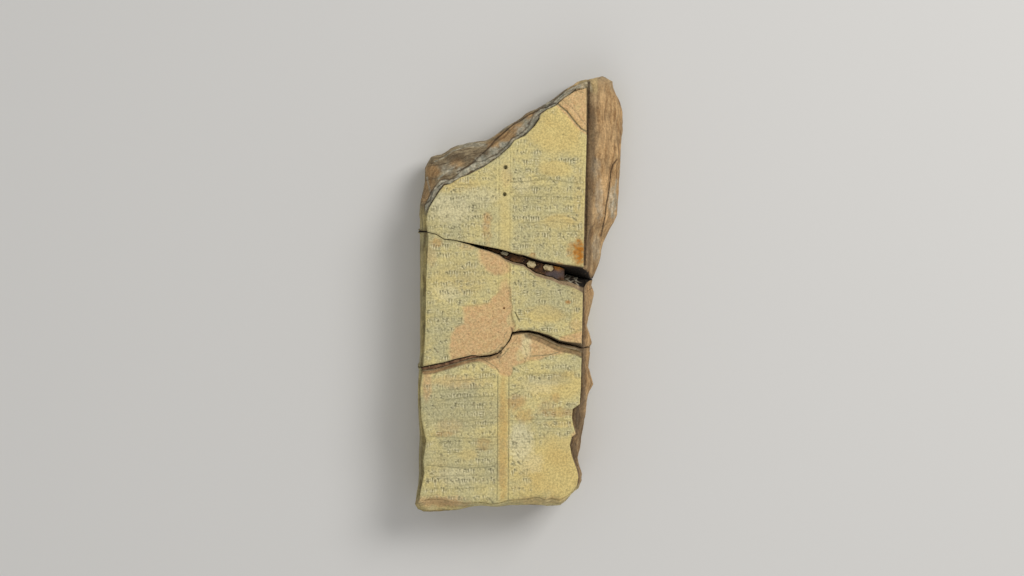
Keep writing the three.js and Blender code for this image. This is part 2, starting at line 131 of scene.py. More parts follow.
UPPER_CRACK = Crack((
    (-99, 64, 64, 64), (-91, 64, 64, 64), (-82, 62, 62, 62), (-74, 57, 57, 57), (-64, 56, 56, 56),
    (-49, 53, 53, 52), (-39, 51, 50, 48), (-29, 49, 47, 45), (-19, 47, 44, 41), (-11, 45, 40, 35),
    (-4, 43, 38, 32), (6, 41, 35, 30), (12, 39, 32, 25), (19, 37, 29, 20), (26, 35, 26, 18),
    (34, 34, 25, 16), (42, 32, 22, 12), (47, 31.5, 21, 11), (52, 31, 20, 10), (59, 30, 18, 7),
    (66, 29, 16, 3), (76, 20, 14, 9), (86, 12, 11, 11), (112, 8, 8, 8),
))
LOWER_CRACK = Crack((
    (-112, -72, -72, -72), (-102, -72, -72, -72), (-97, -71, -72, -73.5), (-94, -70, -72, -75),
    (-84, -68, -71, -74), (-74, -66, -69, -71), (-64, -63, -66, -68), (-54, -61, -63, -65),
    (-46, -59, -61, -63), (-38, -60, -61, -62), (-28, -59, -60, -61), (-20, -57, -57, -58),
    (-16, -54, -54, -54), (-12, -49, -49, -49), (-8, -43, -43, -44), (-6, -36, -37, -39),
    (1, -35, -36, -38), (11, -34, -36, -37), (21, -36, -38, -40), (31, -39, -42, -45),
    (41, -44, -47, -50), (51, -46, -49, -52), (59, -47, -51, -54), (65, -48, -53, -57),
    (76, -55, -55, -56), (112, -58, -58, -58),
))


@dataclass(frozen=True)
class Flake:
    """A patch where the surface has come away and the pinkish core shows."""

    outline: Points
    depth: float
    bevel: float = 0.6
    ragged: float = 1.0
    soft: float = 0.9


FLAKES: tuple[Flake, ...] = (
    Flake(
        ((38, 191), (49, 181), (56, 172), (63, 165), (74, 159), (80, 183), (80, 222), (57, 222),
         (45, 201)),
        1.5, bevel=1.9, ragged=0.3, soft=0.3,
    ),
    Flake(
        ((-56, -10), (-37, -9), (-29, -6), (-16, 8), (-8, 9), (-6, -19), (-3, -30), (-8, -45),
         (-17, -54), (-40, -60), (-68, -68), (-67, -40), (-62, -31), (-54, -27)),
        0.5, ragged=1.3, soft=1.2,
    ),
    Flake(
        ((-40, 50), (-18, 45), (-10, 36), (-8, 25), (-15, 22), (-23, 21), (-32, 26), (-37, 33)),
        0.4, ragged=1.6, soft=1.6,
    ),
    Flake(
        ((-40, -64), (-31, -68), (-21, -74), (-18, -79), (-8, -79), (-5, -70), (9, -65), (26, -62),
         (39, -58), (48, -57), (68, -61), (70, -48), (41, -45), (21, -36), (0, -33), (-12, -45),
         (-24, -58)),
        0.5, ragged=1.2, soft=0.8,
    ),
    Flake(
        ((41, -41), (53, -38), (70, -33), (70, -49), (53, -48), (43, -45)),
        0.5, ragged=0.6, soft=0.6,
    ),
)


@dataclass(frozen=True)
class Scratch:
    """A groove or line with its own place, seen from above."""

    path: Points
    width: float
    depth: float


# Ruled lines, scratches and dents on the face
FACE_LINES: tuple[Scratch, ...] = (
    Scratch(((12, -60), (27, -59), (34, -58), (40, -56)), 0.9, 0.6),
    Scratch(((-19, -62), (-14, -58), (-9, -52)), 0.8, 0.6),
    Scratch(((-30, -57), (-22, -53), (-16, -47)), 0.7, 0.4),
    Scratch(((-12, -44), (-14, -39), (-11, -36)), 0.7, 0.5),
    Scratch(((-8, -49), (-3, -45), (0, -40)), 0.6, 0.4),
    Scratch(((6, -33), (20, -34), (34, -38), (46, -42)), 0.7, 0.35),
    Scratch(((-38, -62), (-30, -66), (-22, -71), (-19, -76)), 0.8, 0.5),
    Scratch(((-22, -57), (-19, -62), (-18, -68)), 0.7, 0.5),
    Scratch(((2, -46), (7, -52), (9, -60), (6, -67)), 0.7, 0.4),
    Scratch(((8, -44), (12, -50), (13, -58), (11, -64)), 0.6, 0.35),
    Scratch(((-78, -171), (-60, -169), (-40, -170), (-23, -167)), 0.9, 0.25),
    Scratch(((-38, -141), (-23, -141)), 0.8, 0.4),
    Scratch(((-78, -144), (-58, -143)), 0.9, 0.2),
    Scratch(((-68, -85), (-40, -83), (-23, -81)), 0.8, 0.4),
    Scratch(((-88, -106), (-60, -103), (-24, -100)), 0.9, 0.2),
    Scratch(((-90, -125), (-64, -122), (-24, -120)), 0.9, 0.2),
    Scratch(((-86, -153), (-58, -151), (-24, -149)), 0.5, 0.25),
    Scratch(((-84, -181), (-50, -179), (-24, -178)), 0.5, 0.25),
    Scratch(((-6, 117), (10, 119), (27, 121)), 0.6, 0.35),
    Scratch(((-6, 113), (10, 115), (27, 118)), 0.5, 0.3),
    Scratch(((-6, 93), (20, 96), (60, 97)), 0.5, 0.25),
    Scratch(((-30, 9), (-20, 13), (-12, 16)), 0.4, 0.3),
    Scratch(((53, -37), (60, -34), (66, -32)), 0.5, 0.35),
    Scratch(((-29, -202), (-25, -207)), 0.9, 0.7),
    Scratch(((38, 194), (49, 185), (56, 176), (63, 168), (70, 164)), 1.2, 0.8),
    Scratch(((45, 196), (55, 188), (63, 178), (70, 169)), 0.8, 0.35),
    Scratch(((40, 196), (48, 200), (58, 206), (66, 204)), 0.8, 0.4),
    Scratch(((-5, -106), (8, -104), (22, -104)), 0.5, 0.3),
    Scratch(((-3, -16), (1, -24)), 0.9, 0.8),
    Scratch(((-2, 15), (18, 14), (40, 16)), 0.5, 0.3),
    Scratch(((-93, -97), (-66, -93), (-26, -92)), 0.8, 0.3),
    Scratch(((-74, -104), (-51, -101), (-25, -100)), 0.9, 0.35),
    Scratch(((-91, -110), (-55, -108), (-26, -110)), 0.8, 0.25),
    Scratch(((-93, -125), (-64, -126), (-26, -122)), 0.8, 0.3),
    Scratch(((-93, -131), (-55, -130), (-24, -129)), 0.7, 0.25),
    Scratch(((-91, -140), (-55, -142), (-28, -144)), 0.9, 0.35),
    Scratch(((-81, -146), (-55, -145), (-26, -146)), 0.8, 0.3),
    Scratch(((-43, -154), (-35, -153), (-27, -153)), 0.9, 0.4),
    Scratch(((-81, -157), (-68, -156), (-56, -157)), 0.8, 0.35),
    Scratch(((-91, -169), (-55, -172), (-28, -171)), 0.9, 0.4),
    Scratch(((-89, -181), (-55, -179), (-36, -180)), 0.8, 0.3),
    Scratch(((-91, -192), (-62, -193), (-32, -191)), 0.8, 0.3),
    Scratch(((-9, -94), (0, -92), (6, -92)), 0.8, 0.4),
    Scratch(((-8, -100), (-2, -97), (4, -94)), 0.8, 0.4),
    Scratch(((-11, -125), (3, -124), (18, -123), (50, -124)), 0.9, 0.35),
    Scratch(((-11, -142), (2, -141), (12, -143)), 0.8, 0.35),
    Scratch(((-11, -151), (-2, -152), (8, -151)), 0.8, 0.35),
    Scratch(((-8, 114), (11, 115), (28, 117), (60, 113)), 0.9, 0.4),
    Scratch(((-8, 106), (20, 109), (38, 112)), 0.8, 0.35),
    Scratch(((-6, 100), (24, 100), (58, 98)), 0.8, 0.3),
    Scratch(((8, 73), (32, 75), (60, 72)), 0.8, 0.3),
)
# Pin holes and pits: x and y in squares, radius and depth in millimetres
RULE_HOLES: tuple[tuple[float, float, float, float], ...] = (
    (-12.5, 129, 1.0, 1.8), (-13.5, 102, 1.0, 1.8), (-10, 116, 0.5, 0.5),
    (-18, -56, 1.0, 1.6), (-16, -52, 0.8, 1.2), (-21, -61, 0.6, 1.0), (50, -6, 0.6, 0.35),
)
# Pale rims and scrapes on the breaks
PALE_LINES: tuple[Scratch, ...] = (
    Scratch(((-62, 120), (-50, 126), (-38, 133), (-28, 141), (-20, 148)), 1.5, 1.0),
    Scratch(((-12, 152), (-2, 160), (8, 170), (14, 178)), 1.8, 1.0),
    Scratch(((-80, 118), (-72, 125), (-64, 130)), 1.4, 0.8),
    Scratch(((0, 167), (8, 175), (16, 182), (30, 190)), 1.2, 0.8),
    Scratch(((-92, 120), (-89, 108), (-86, 99), (-90, 88)), 1.4, 0.8),
    Scratch(((-84, 136), (-75, 140), (-66, 147), (-56, 150)), 1.0, 0.8),
    Scratch(((-60, 153), (-42, 158), (-30, 162), (-20, 166), (-8, 174)), 1.6, 0.9),
    Scratch(((6, 186), (16, 191), (28, 199), (40, 206), (52, 212)), 1.4, 0.9),
    Scratch(((100, 118), (98, 106), (96, 92), (95, 80)), 1.8, 0.8),
    Scratch(((47, 20), (50, 22), (53, 20), (50, 17), (53, 14), (56, 16)), 0.7, 1.0),
    Scratch(((57, 18), (60, 19), (58, 14), (61, 11)), 0.7, 1.0),
    Scratch(((47, 16), (49, 18), (51, 14)), 0.6, 0.9),
    Scratch(((56, 20), (58, 16), (62, 14)), 0.6, 0.8),
)
# Steps and grooves on the walls: carved in, and darkened with painted shade
WALL_LINES: tuple[Scratch, ...] = (
    Scratch(((-75, 133), (-66, 136), (-58, 138), (-48, 143), (-40, 149), (-31, 153)), 0.7, 0.5),
    Scratch(
        ((-73, 138), (-66, 143), (-59, 145), (-52, 147), (-45, 150), (-38, 153), (-28, 158)),
        0.6, 0.4,
    ),
    Scratch(((-71, 141), (-63, 144), (-56, 146)), 0.5, 0.3),
    Scratch(((-70, 136), (-60, 139), (-50, 143), (-42, 147)), 0.5, 0.3),
    Scratch(((-84, 134), (-78, 135), (-73, 133), (-68, 134)), 0.5, 0.4),
    Scratch(
        ((-61, 125), (-55, 128), (-50, 131), (-43, 136), (-39, 141), (-35, 144), (-30, 149),
         (-26, 154), (-23, 158), (-18, 162), (-11, 168), (-5, 173), (2, 177), (8, 181), (12, 184),
         (18, 186), (23, 189), (30, 191), (35, 193), (38, 194)),
        0.9, 0.8,
    ),
    Scratch(((-95, 108), (-90, 109), (-82, 110)), 0.5, 0.4),
    Scratch(
        ((-93, 93), (-88, 96), (-86, 104), (-80, 110), (-75, 114), (-70, 116), (-60, 120)),
        0.8, 0.6,
    ),
    Scratch(((38, 194), (43, 200), (50, 206), (60, 209), (68, 206)), 0.7, 0.5),
    Scratch(((57, 207), (64, 205), (70, 202)), 0.6, 0.3),
    Scratch(
        ((100, 138), (96, 133), (94, 126), (93, 116), (91, 101), (89, 91), (88, 81), (86, 71),
         (84, 61)),
        0.9, 0.9,
    ),
    Scratch(((86, 106), (87, 92), (86, 81), (83, 72)), 0.6, 0.4),
    Scratch(((78, 131), (82, 121), (84, 110)), 0.6, 0.35),
    Scratch(((83, 212), (80, 196), (81, 176), (84, 160), (85, 148)), 0.6, 0.35),
    Scratch(((74, 120), (76, 100), (74, 80), (75, 62)), 0.6, 0.35),
    Scratch(((91, 180), (93, 160), (95, 148)), 0.5, 0.3),
    Scratch(((83, 56), (80, 44), (76, 32)), 0.7, 0.4),
    Scratch(((71, 215), (71, 190), (70, 162), (69, 130), (69, 93), (68, 53), (67, 32)), 1.2, 1.2),
    Scratch(((66, 18), (66, 3), (65, -30), (65, -46)), 0.9, 0.9),
    Scratch(((65, -56), (64, -80), (64, -100), (61, -107)), 0.9, 0.8),
    Scratch(((56, -112), (56, -124), (59, -132)), 0.8, 0.7),
    Scratch(((55, -143), (54, -150), (56, -160), (60, -171)), 0.8, 0.7),
    Scratch(((-91, 131), (-73, 134), (-54, 138), (-35, 145), (-23, 155)), 0.8, 0.5),
    Scratch(((-86, 125), (-65, 128), (-46, 136), (-34, 144)), 0.7, 0.45),
    Scratch(((-94, 117), (-80, 119), (-64, 122)), 0.7, 0.45),
    Scratch(((-98, 104), (-88, 108), (-80, 113)), 0.7, 0.4),
    Scratch(((-80, 129), (-63, 135), (-46, 141)), 0.6, 0.4),
)
# Broad bands of painted shade beside the cracks
SHADE_BANDS: tuple[Scratch, ...] = (
    Scratch(((10, -37), (24, -42), (36, -47), (46, -51), (58, -55), (68, -59)), 3.6, 0.75),
    Scratch(((40, -50), (52, -54), (66, -60)), 3.0, 0.7),
    Scratch(((-38, 49), (-25, 45), (-12, 38)), 2.6, 0.7),
    Scratch(((-6, -32), (-5, -38), (4, -36)), 1.8, 0.9),
    Scratch(((-20, -56), (-14, -50), (-9, -44)), 1.6, 0.6),
    Scratch(((-50, -60), (-38, -60), (-24, -58)), 1.8, 0.6),
    Scratch(((42, 20), (56, 12), (65, 5)), 1.2, 0.35),
)


@dataclass(frozen=True)
class Swell:
    """A place on a wall, in millimetres, that stands out from the solid, or in if negative."""

    x: float
    y: float
    reach: float
    height: float


SWELLS: tuple[Swell, ...] = (
    Swell(-44.0, 68.0, 4.5, 2.3), Swell(34.5, 108.0, 5.0, 1.9), Swell(48.0, 107.0, 4.0, -1.4),
    Swell(44.0, 28.0, 4.0, -1.3), Swell(-50.0, 50.0, 3.0, 0.5),
)


@dataclass(frozen=True)
class Stain:
    """A soft-edged patch of colour: middle and half widths in squares, and strength."""

    x: float
    y: float
    wide: float
    high: float
    strength: float = 1.0


def stains(*rows: tuple[float, ...]) -> tuple[Stain, ...]:
    """Returns a stain for each row of numbers."""
    return tuple(Stain(*row) for row in rows)


# Where there is no writing
BARE = stains(
    (40, 160, 32, 20), (26, -19, 16, 7), (-50, -158, 9, 6), (45, -92, 38, 11), (10, -111, 12, 8),
    (40, -175, 34, 34), (-32, -146, 6, 6), (60, 40, 8, 12), (38, 75, 18, 6), (37, 127, 16, 9),
)
# Rust-coloured spots
RUST = stains(
    (61, 45, 8, 13, 1.0), (54, 46, 6, 9, 0.5), (50, -6, 3, 2.5, 0.7), (15, 40, 4, 4, 0.5),
    (-81, 54, 6, 5, 0.4), (-31, 62, 5, 12, 0.25), (-2, -107, 11, 9, 0.34), (6, -119, 10, 8, 0.3),
    (40, -116, 22, 5, 0.32), (28, -110, 10, 6, 0.2), (-34, -148, 9, 7, 0.26), (37, -102, 6, 5, 0.3),
    (-74, -138, 12, 3, 0.3), (-15, -145, 5, 66, 0.3), (40, 29, 7, 5, 0.8), (-30, 78, 5, 7, 0.35),
)
# Pinkish clay without a flake's depth
BLUSH = stains(
    (-32, 74, 5, 10, 0.5), (-49, 50, 9, 4, 0.5), (-13, 4, 7, 12, 0.7), (-91, -86, 5, 17, 0.8),
    (-78, -206, 26, 7, 0.9), (60, -145, 6, 14, 0.9), (-60, -86, 30, 7, 0.35), (0, -104, 10, 8, 0.3),
    (-70, -130, 16, 8, 0.3), (30, -205, 36, 5, 0.35), (-86, 40, 6, 14, 0.3), (60, -30, 10, 8, 0.4),
    (-14, -66, 10, 10, 0.8), (-12, 122, 6, 12, 0.25),
)
# Scraps of the surface left within the flakes
LEFT_OVER = stains(
    (8, -50, 4, 12, 0.7), (2, -60, 5, 6, 0.6), (40, -68, 16, 6, 0.5), (-8, -24, 4, 8, 0.5),
)
# Pale, rubbed places
FROST = stains(
    (3, -147, 13, 22, 0.6), (12, -166, 14, 12, 0.3), (-66, 88, 24, 16, 0.5),
    (-40, 100, 24, 10, 0.3), (-62, -180, 20, 10, 0.3), (4, 112, 10, 10, 0.3), (-70, 4, 14, 8, 0.35),
    (20, -90, 20, 8, 0.25), (8, -50, 6, 12, 0.4),
)
# Yellow, glossier clay
YELLOW = stains(
    (42, 165, 36, 26), (38, 127, 18, 10, 0.7), (40, 75, 24, 8, 0.8), (28, -18, 22, 9, 0.9),
    (38, -90, 34, 14, 0.9), (35, -175, 44, 36, 1.0), (-50, -158, 10, 6, 0.9),
    (-66, 112, 26, 9, 0.7), (-48, 18, 22, 16, 0.5), (60, 0, 8, 50, 0.5), (-66, -84, 24, 5, 0.5),
    (-80, -180, 12, 24, 0.35), (-60, 20, 30, 14, 0.45), (62, 100, 7, 60, 0.45),
    (12, -56, 8, 12, 0.9), (-14, -142, 6, 78, 0.9), (-13, 60, 6, 60, 0.5), (45, -128, 22, 4, 0.8),
)
# Greyish-green grime
SLATE = stains(
    (-58, -112, 42, 26, 0.6), (-66, 80, 32, 24, 0.5), (-50, -178, 36, 18, 0.45),
    (16, -135, 20, 16, 0.25), (-68, -40, 24, 26, 0.4), (28, -84, 22, 6, 0.6),
    (20, 100, 30, 14, 0.35), (52, -112, 10, 8, 0.6), (-76, -30, 14, 20, 0.3), (20, 10, 26, 14, 0.3),
    (36, -2, 34, 20, 0.4), (-62, -168, 34, 34, 0.35), (-50, -150, 40, 12, 0.35),
    (28, 60, 34, 20, 0.3), (-50, 30, 30, 14, 0.3),
)
# Pale spots on the breaks
PALE = stains(
    (-35, 136, 9, 7), (-22, 145, 9, 6), (-12, 151, 8, 5), (5, 165, 8, 8), (11, 173, 6, 7),
    (20, 180, 5, 6), (-55, 126, 8, 4), (-41, 128, 6, 4), (31, 194, 12, 4), (-46, 153, 18, 3, 0.7),
    (-81, 106, 4, 6, 0.8), (96, 96, 5, 16, 0.8), (82, 98, 5, 22, 0.45), (-70, 128, 9, 7, 0.5),
    (78, 130, 6, 10, 0.35), (79, 48, 5, 14, 0.4), (50, 200, 14, 8, 0.3),
)
# Reddish-brown parts of the breaks
TAN = stains(
    (-12, 161, 12, 6), (-2, 169, 8, 6), (-24, 153, 8, 5), (14, 181, 6, 5), (-62, 133, 9, 5, 0.7),
    (-86, 126, 9, 8, 1.0), (-89, 112, 7, 8, 0.8), (-93, 101, 6, 7, 0.7), (94, 130, 22, 120, 1.0),
    (74, -60, 10, 130, 1.0), (-84, -211, 20, 8, 0.8), (60, -190, 10, 20, 0.4),
)
# Painted shade on the edges and walls where they lie in shadow, with some dark soiling
SHADE_AND_SOOT = stains(
    (-98, -24, 7, 34, 0.7), (-98, -150, 11, 16, 0.75), (-97, -182, 9, 24, 0.85),
    (64, -60, 5, 130, 0.65), (60, -122, 4, 15, 0.9), (57, -160, 4, 18, 0.7), (-98, 74, 7, 22, 0.35),
    (-98, 40, 7, 20, 0.55), (-100, -95, 6, 30, 0.45), (73, 150, 6, 60, 0.7), (71, 70, 4, 60, 0.6),
    (66, -110, 5, 20, 0.3), (58, -118, 5, 10, 0.7), (-72, -205, 4, 3, 0.2), (-40, 144, 12, 5, 0.35),
    (-60, 140, 16, 6, 0.45),
)
# Rust on the upper fill, and grey painted shade towards its right end
FILL_RUST = stains((41, 29, 6, 5, 0.9), (-4, 36, 5, 4, 0.15))
FILL_SHADE = stains((36, 21, 8, 6, 0.8), (43, 23, 5, 5, 0.6))


def smooth(low: float, high: float, value: np.ndarray) -> np.ndarray:
    """Returns 0 below low, 1 above high, and an S-shaped rise between them."""
    share = np.clip((value - low) / (high - low), 0.0, 1.0)
    return share * share * (3.0 - 2.0 * share)


def millimetres(points: Points) -> np.ndarray:
    """Returns points on the squared paper as an array in millimetres."""
    return np.array(points, float) * SQUARE


def off_leg(
    x: np.ndarray, y: np.ndarray, start: np.ndarray, end: np.ndarray
) -> tuple[np.ndarray, np.ndarray]:
    """Measures how far cells lie from one straight leg of a line.

    Args:
        x: the cells' places along x, in a column.
        y: the cells' places along y, in a row.
        start: the leg's start.
        end: the leg's end.

    Returns:
        The way from the leg's nearest point to each cell, along x and along y.
    """
    leg = end - start
    share = ((x - start[0]) * leg[0] + (y - start[1]) * leg[1]) / max(leg @ leg, TINY)
    share = np.clip(share, 0.0, 1.0)
    return x - start[0] - share * leg[0], y - start[1] - share * leg[1]


class Noise:
    """Smooth, repeatable noise in two or three dimensions."""

    GAIN = 1.7
    LAYER_SHIFT = 17.3

    def __init__(self, seed: int) -> None:
        """Draws the table of directions.

        Args:
            seed: the number that fixes the pattern.
        """
        dice = np.random.default_rng(seed)
        table = dice.permutation(256)
        self.table = np.concatenate([table, table])
        directions = dice.normal(size=(256, 3))
        self.directions = directions / np.linalg.norm(directions, axis=1)[:, None]

    def at(self, points: np.ndarray, length: float | tuple[float, ...]) -> np.ndarray:
        """Reads the noise.

        Args:
            points: places in millimetres, one row each.
            length: the size of one swell, or one size along each axis.

        Returns:
            A value from about -1 to 1 for each point.
        """
        scaled = points / np.array(length)
        corner = np.floor(scaled)
        share = scaled - corner
        corner = corner.astype(np.int64) & 255
        rise = share**3 * (share * (share * 6.0 - 15.0) + 10.0)
        ease = (1.0 - rise, rise)
        total = np.zeros(len(points))
        for step in itertools.product((0, 1), repeat=points.shape[1]):
            cell = np.zeros(len(points), np.int64)
            weight = np.ones(len(points))
            for axis, move in enumerate(step):
                cell = self.table[cell + ((corner[:, axis] + move) & 255)]
                weight *= ease[move][:, axis]
            facing = self.directions[cell]
            reach = sum(facing[:, axis] * (share[:, axis] - move) for axis, move in enumerate(step))
            total += weight * reach
        return self.GAIN * total

    def layered(self, points: np.ndarray, length: float, layers: int = 3) -> np.ndarray:
        """Adds up finer and finer noise.

        Args:
            points: places in millimetres, one row each.
            length: the size of the largest swell.
            layers: how many sizes to add, each half of the one before.

        Returns:
            A value from about -1 to 1 for each point.
        """
        total = sum(
            self.at(points + self.LAYER_SHIFT * n, length / 2**n) / 2**n for n in range(layers)
        )
        return total / (2.0 - 2.0 ** (1 - layers))


class Chart:
    """A fine grid over the tablet, for everything that depends on the place seen from above."""

    STEP = 0.16
    LOW = np.array([-57.0, -115.0])
    HIGH = np.array([57.0, 115.0])
    PATCH_REACH = 1.9
    PATCH_WANDER = 0.45
    PATCH_EDGE = (1.25, 0.55)

    def __init__(self, noise: Noise) -> None:
        """Lays out the cells.

        Args:
            noise: the noise that its clouds are read from.
        """
        self.noise = noise
        self.cells = tuple(np.ceil((self.HIGH - self.LOW) / self.STEP).astype(int) + 1)
        self.x = self.LOW[0] + self.STEP * np.arange(self.cells[0])[:, None]
        self.y = self.LOW[1] + self.STEP * np.arange(self.cells[1])[None, :]

    def window(
        self, low: np.ndarray, high: np.ndarray
    ) -> tuple[tuple[slice, slice], np.ndarray, np.ndarray]:
        """Picks the cells between two corners.

        Args:
            low: the lower left corner in millimetres.
            high: the upper right corner in millimetres.

        Returns:
            The cells' slices, and the x and y of the cells.
        """
        most = np.array(self.cells)
        start = np.clip(np.floor((low - self.LOW) / self.STEP).astype(int), 0, most - 2)
        stop = np.clip(np.ceil((high - self.LOW) / self.STEP).astype(int) + 1, start + 1, most)
        columns, rows = slice(start[0], stop[0]), slice(start[1], stop[1])
        return (columns, rows), self.x[columns], self.y[:, rows]

    def distance(self, line: np.ndarray, cap: float) -> np.ndarray:
        """Measures how far each cell lies from a line of several legs.

        Args:
            line: its corners, one row each.
            cap: the distance past which it doesn't matter.

        Returns:
            The distances.
        """
        best = np.full(self.cells, cap * cap)
        for start, end in zip(line[:-1], line[1:]):
            area, x, y = self.window(np.minimum(start, end) - cap, np.maximum(start, end) + cap)
            off_x, off_y = off_leg(x, y, start, end)
            best[area] = np.minimum(best[area], off_x**2 + off_y**2)
        return np.sqrt(best)

    def inward(self, outline: np.ndarray, cap: float) -> np.ndarray:
        """Measures how far each cell lies inside a closed outline, negative outside it.

        Args:
            outline: its corners, one row each.
            cap: the distance past which it doesn't matter.

        Returns:
            The distances.
        """
        area, x, y = self.window(outline.min(axis=0), outline.max(axis=0))
        inside = np.zeros((x.shape[0], y.shape[1]), bool)
        for (ax, ay), (bx, by) in zip(outline, np.roll(outline, -1, axis=0)):
            if ay != by:
                inside ^= ((ay > y) != (by > y)) & (x < ax + (bx - ax) * (y - ay) / (by - ay))
        away = -self.distance(np.vstack([outline, outline[:1]]), cap)
        away[area] = np.where(inside, -away[area], away[area])
        return away

    def cloud(self, length: float, layers: int, lift: float = 0.0) -> np.ndarray:
        """Reads layered noise over the grid, on coarser cells where it is smooth.

        Args:
            length: the size of the largest swell.
            layers: how many sizes to add.
            lift: a shift that gives another pattern.

        Returns:
            A value from about -1 to 1 for each cell.
        """
        step = max(self.STEP, length / 2 ** (layers - 1) / 5.0)
        count = np.ceil((self.HIGH - self.LOW) / step).astype(int) + 3
        x, y = (self.LOW[axis] + step * np.arange(count[axis]) for axis in (0, 1))
        places = np.stack(np.meshgrid(x, y, indexing="ij"), axis=-1).reshape(-1, 2)
        coarse = self.noise.layered(places + lift, length, layers).reshape(count)
        for axis, line in ((0, self.x[:, 0]), (1, self.y[0])):
            place = (line - self.LOW[axis]) / step
            cell = place.astype(int)
            share = (place - cell).reshape((-1, 1) if axis == 0 else (1, -1))
            before, after = np.take(coarse, cell, axis), np.take(coarse, cell + 1, axis)
            coarse = before * (1.0 - share) + after * share
        return coarse

    def patches(self, places: tuple[Stain, ...], wander: np.ndarray) -> np.ndarray:
        """Lays soft patches over each other.

        Args:
            places: the patches.
            wander: noise that breaks up their edges.

        Returns:
            A value from 0 to 1 for each cell.
        """
        total = np.zeros(self.cells)
        for stain in places:
            middle = np.array([stain.x, stain.y]) * SQUARE
            half = np.array([stain.wide, stain.high]) * SQUARE
            most = self.PATCH_REACH * half
            area, x, y = self.window(middle - most, middle + most)
            reach = np.hypot((x - middle[0]) / half[0], (y - middle[1]) / half[1])
            reach += self.PATCH_WANDER * wander[area]
            patch = stain.strength * smooth(*self.PATCH_EDGE, reach)
            total[area] = np.maximum(total[area], patch)
        return total

    @staticmethod
    def eased(values: np.ndarray, reach: int) -> np.ndarray:
        """Evens out a grid.

        Args:
            values: the grid.
            reach: how many cells each way are taken together.

        Returns:
            A grid whose cells are the mean of those around them.
        """
        moves = range(-reach, reach + 1)
        for axis in (0, 1):
            values = sum(np.roll(values, move, axis) for move in moves) / (2 * reach + 1)
        return values

    def read(self, grids: Grids, points: np.ndarray) -> Grids:
        """Reads grids between their cells.

        Args:
            grids: the grids by name.
            points: places in millimetres, one row each.

        Returns:
            The values at each point by name.
        """
        place = np.clip((points - self.LOW) / self.STEP, 0, np.array(self.cells) - 1.001)
        x, y = place.astype(int).T
        right, up = (place - np.stack([x, y], axis=1)).T
        weights = ((1 - right) * (1 - up), right * (1 - up), (1 - right) * up, right * up)
        corners = ((x, y), (x + 1, y), (x, y + 1), (x + 1, y + 1))
        return {
            name: sum(weight * grid[corner] for weight, corner in zip(weights, corners))
            for name, grid in grids.items()
        }


class Stylus:
    """Presses, scores and drills a chart, keeping the deepest dent at each cell."""

    def __init__(self, chart: Chart) -> None:
        """Starts with a flat surface.

        Args:
            chart: the grid to work on.
        """
        self.chart = chart
        self.depth = np.zeros(chart.cells)
        self.marks = 0

    def wedge(
        self, head: np.ndarray, angle: float, length: float, width: float, depth: float
    ) -> None:
        """Presses one mark of a reed: deep and wide at its head, running out to its tail.

        Args:
            head: the middle of the head.
            angle: the way from head to tail, in radians.
            length: from head to tail.
            width: across the head.
            depth: at the deepest place.
        """
        area, x, y = self.chart.window(head - length - 0.5, head + length + 0.5)
        along = ((x - head[0]) * math.cos(angle) + (y - head[1]) * math.sin(angle)) / length
        across = np.abs((y - head[1]) * math.cos(angle) - (x - head[0]) * math.sin(angle))
        half = width / 2.0 * (0.5 + 0.5 * np.clip(1.0 - along / 0.4, 0.0, 1.0))
        shape = np.minimum(1.1 * (1.0 - across / half), (along + 0.14) / 0.16)
        dent = depth * np.clip(shape, 0.0, 1.0) * np.clip(1.0 - 0.6 * along, 0.0, 1.0)
        self.depth[area] = np.maximum(self.depth[area], dent * (along < 1.0))
        self.marks += 1

    def groove(self, line: np.ndarray, width: float, depth: float) -> None:
        """Scores a line of several legs.

        Args:
            line: its corners in millimetres, one row each.
            width: across the groove.
            depth: along its middle.
        """
        half = width / 2.0
        area, x, y = self.chart.window(line.min(axis=0) - half, line.max(axis=0) + half)
        best = np.full((x.shape[0], y.shape[1]), half)
        for start, end in zip(line[:-1], line[1:]):
            best = np.minimum(best, np.hypot(*off_leg(x, y, start, end)))
        self.depth[area] = np.maximum(self.depth[area], depth * (1.0 - best / half))

    def score(self, scratches: tuple[Scratch, ...], widen: float = 1.0) -> None:
        """Scores lines that have places of their own.

        Args:
            scratches: the lines.
            widen: a factor on their widths.
        """
        for scratch in scratches:
            self.groove(millimetres(scratch.path), scratch.width * widen, scratch.depth)

    def hole(self, middle: np.ndarray, radius: float, depth: float) -> None:
        """Sinks a small round pit.

        Args:
            middle: its middle in millimetres.
            radius: its radius.
            depth: at its middle.
        """
        area, x, y = self.chart.window(middle - radius, middle + radius)
        away = np.hypot(x - middle[0], y - middle[1]) / radius
        dent = depth * np.sqrt(np.clip(1.0 - away**2, 0.0, 1.0))
        self.depth[area] = np.maximum(self.depth[area], dent)


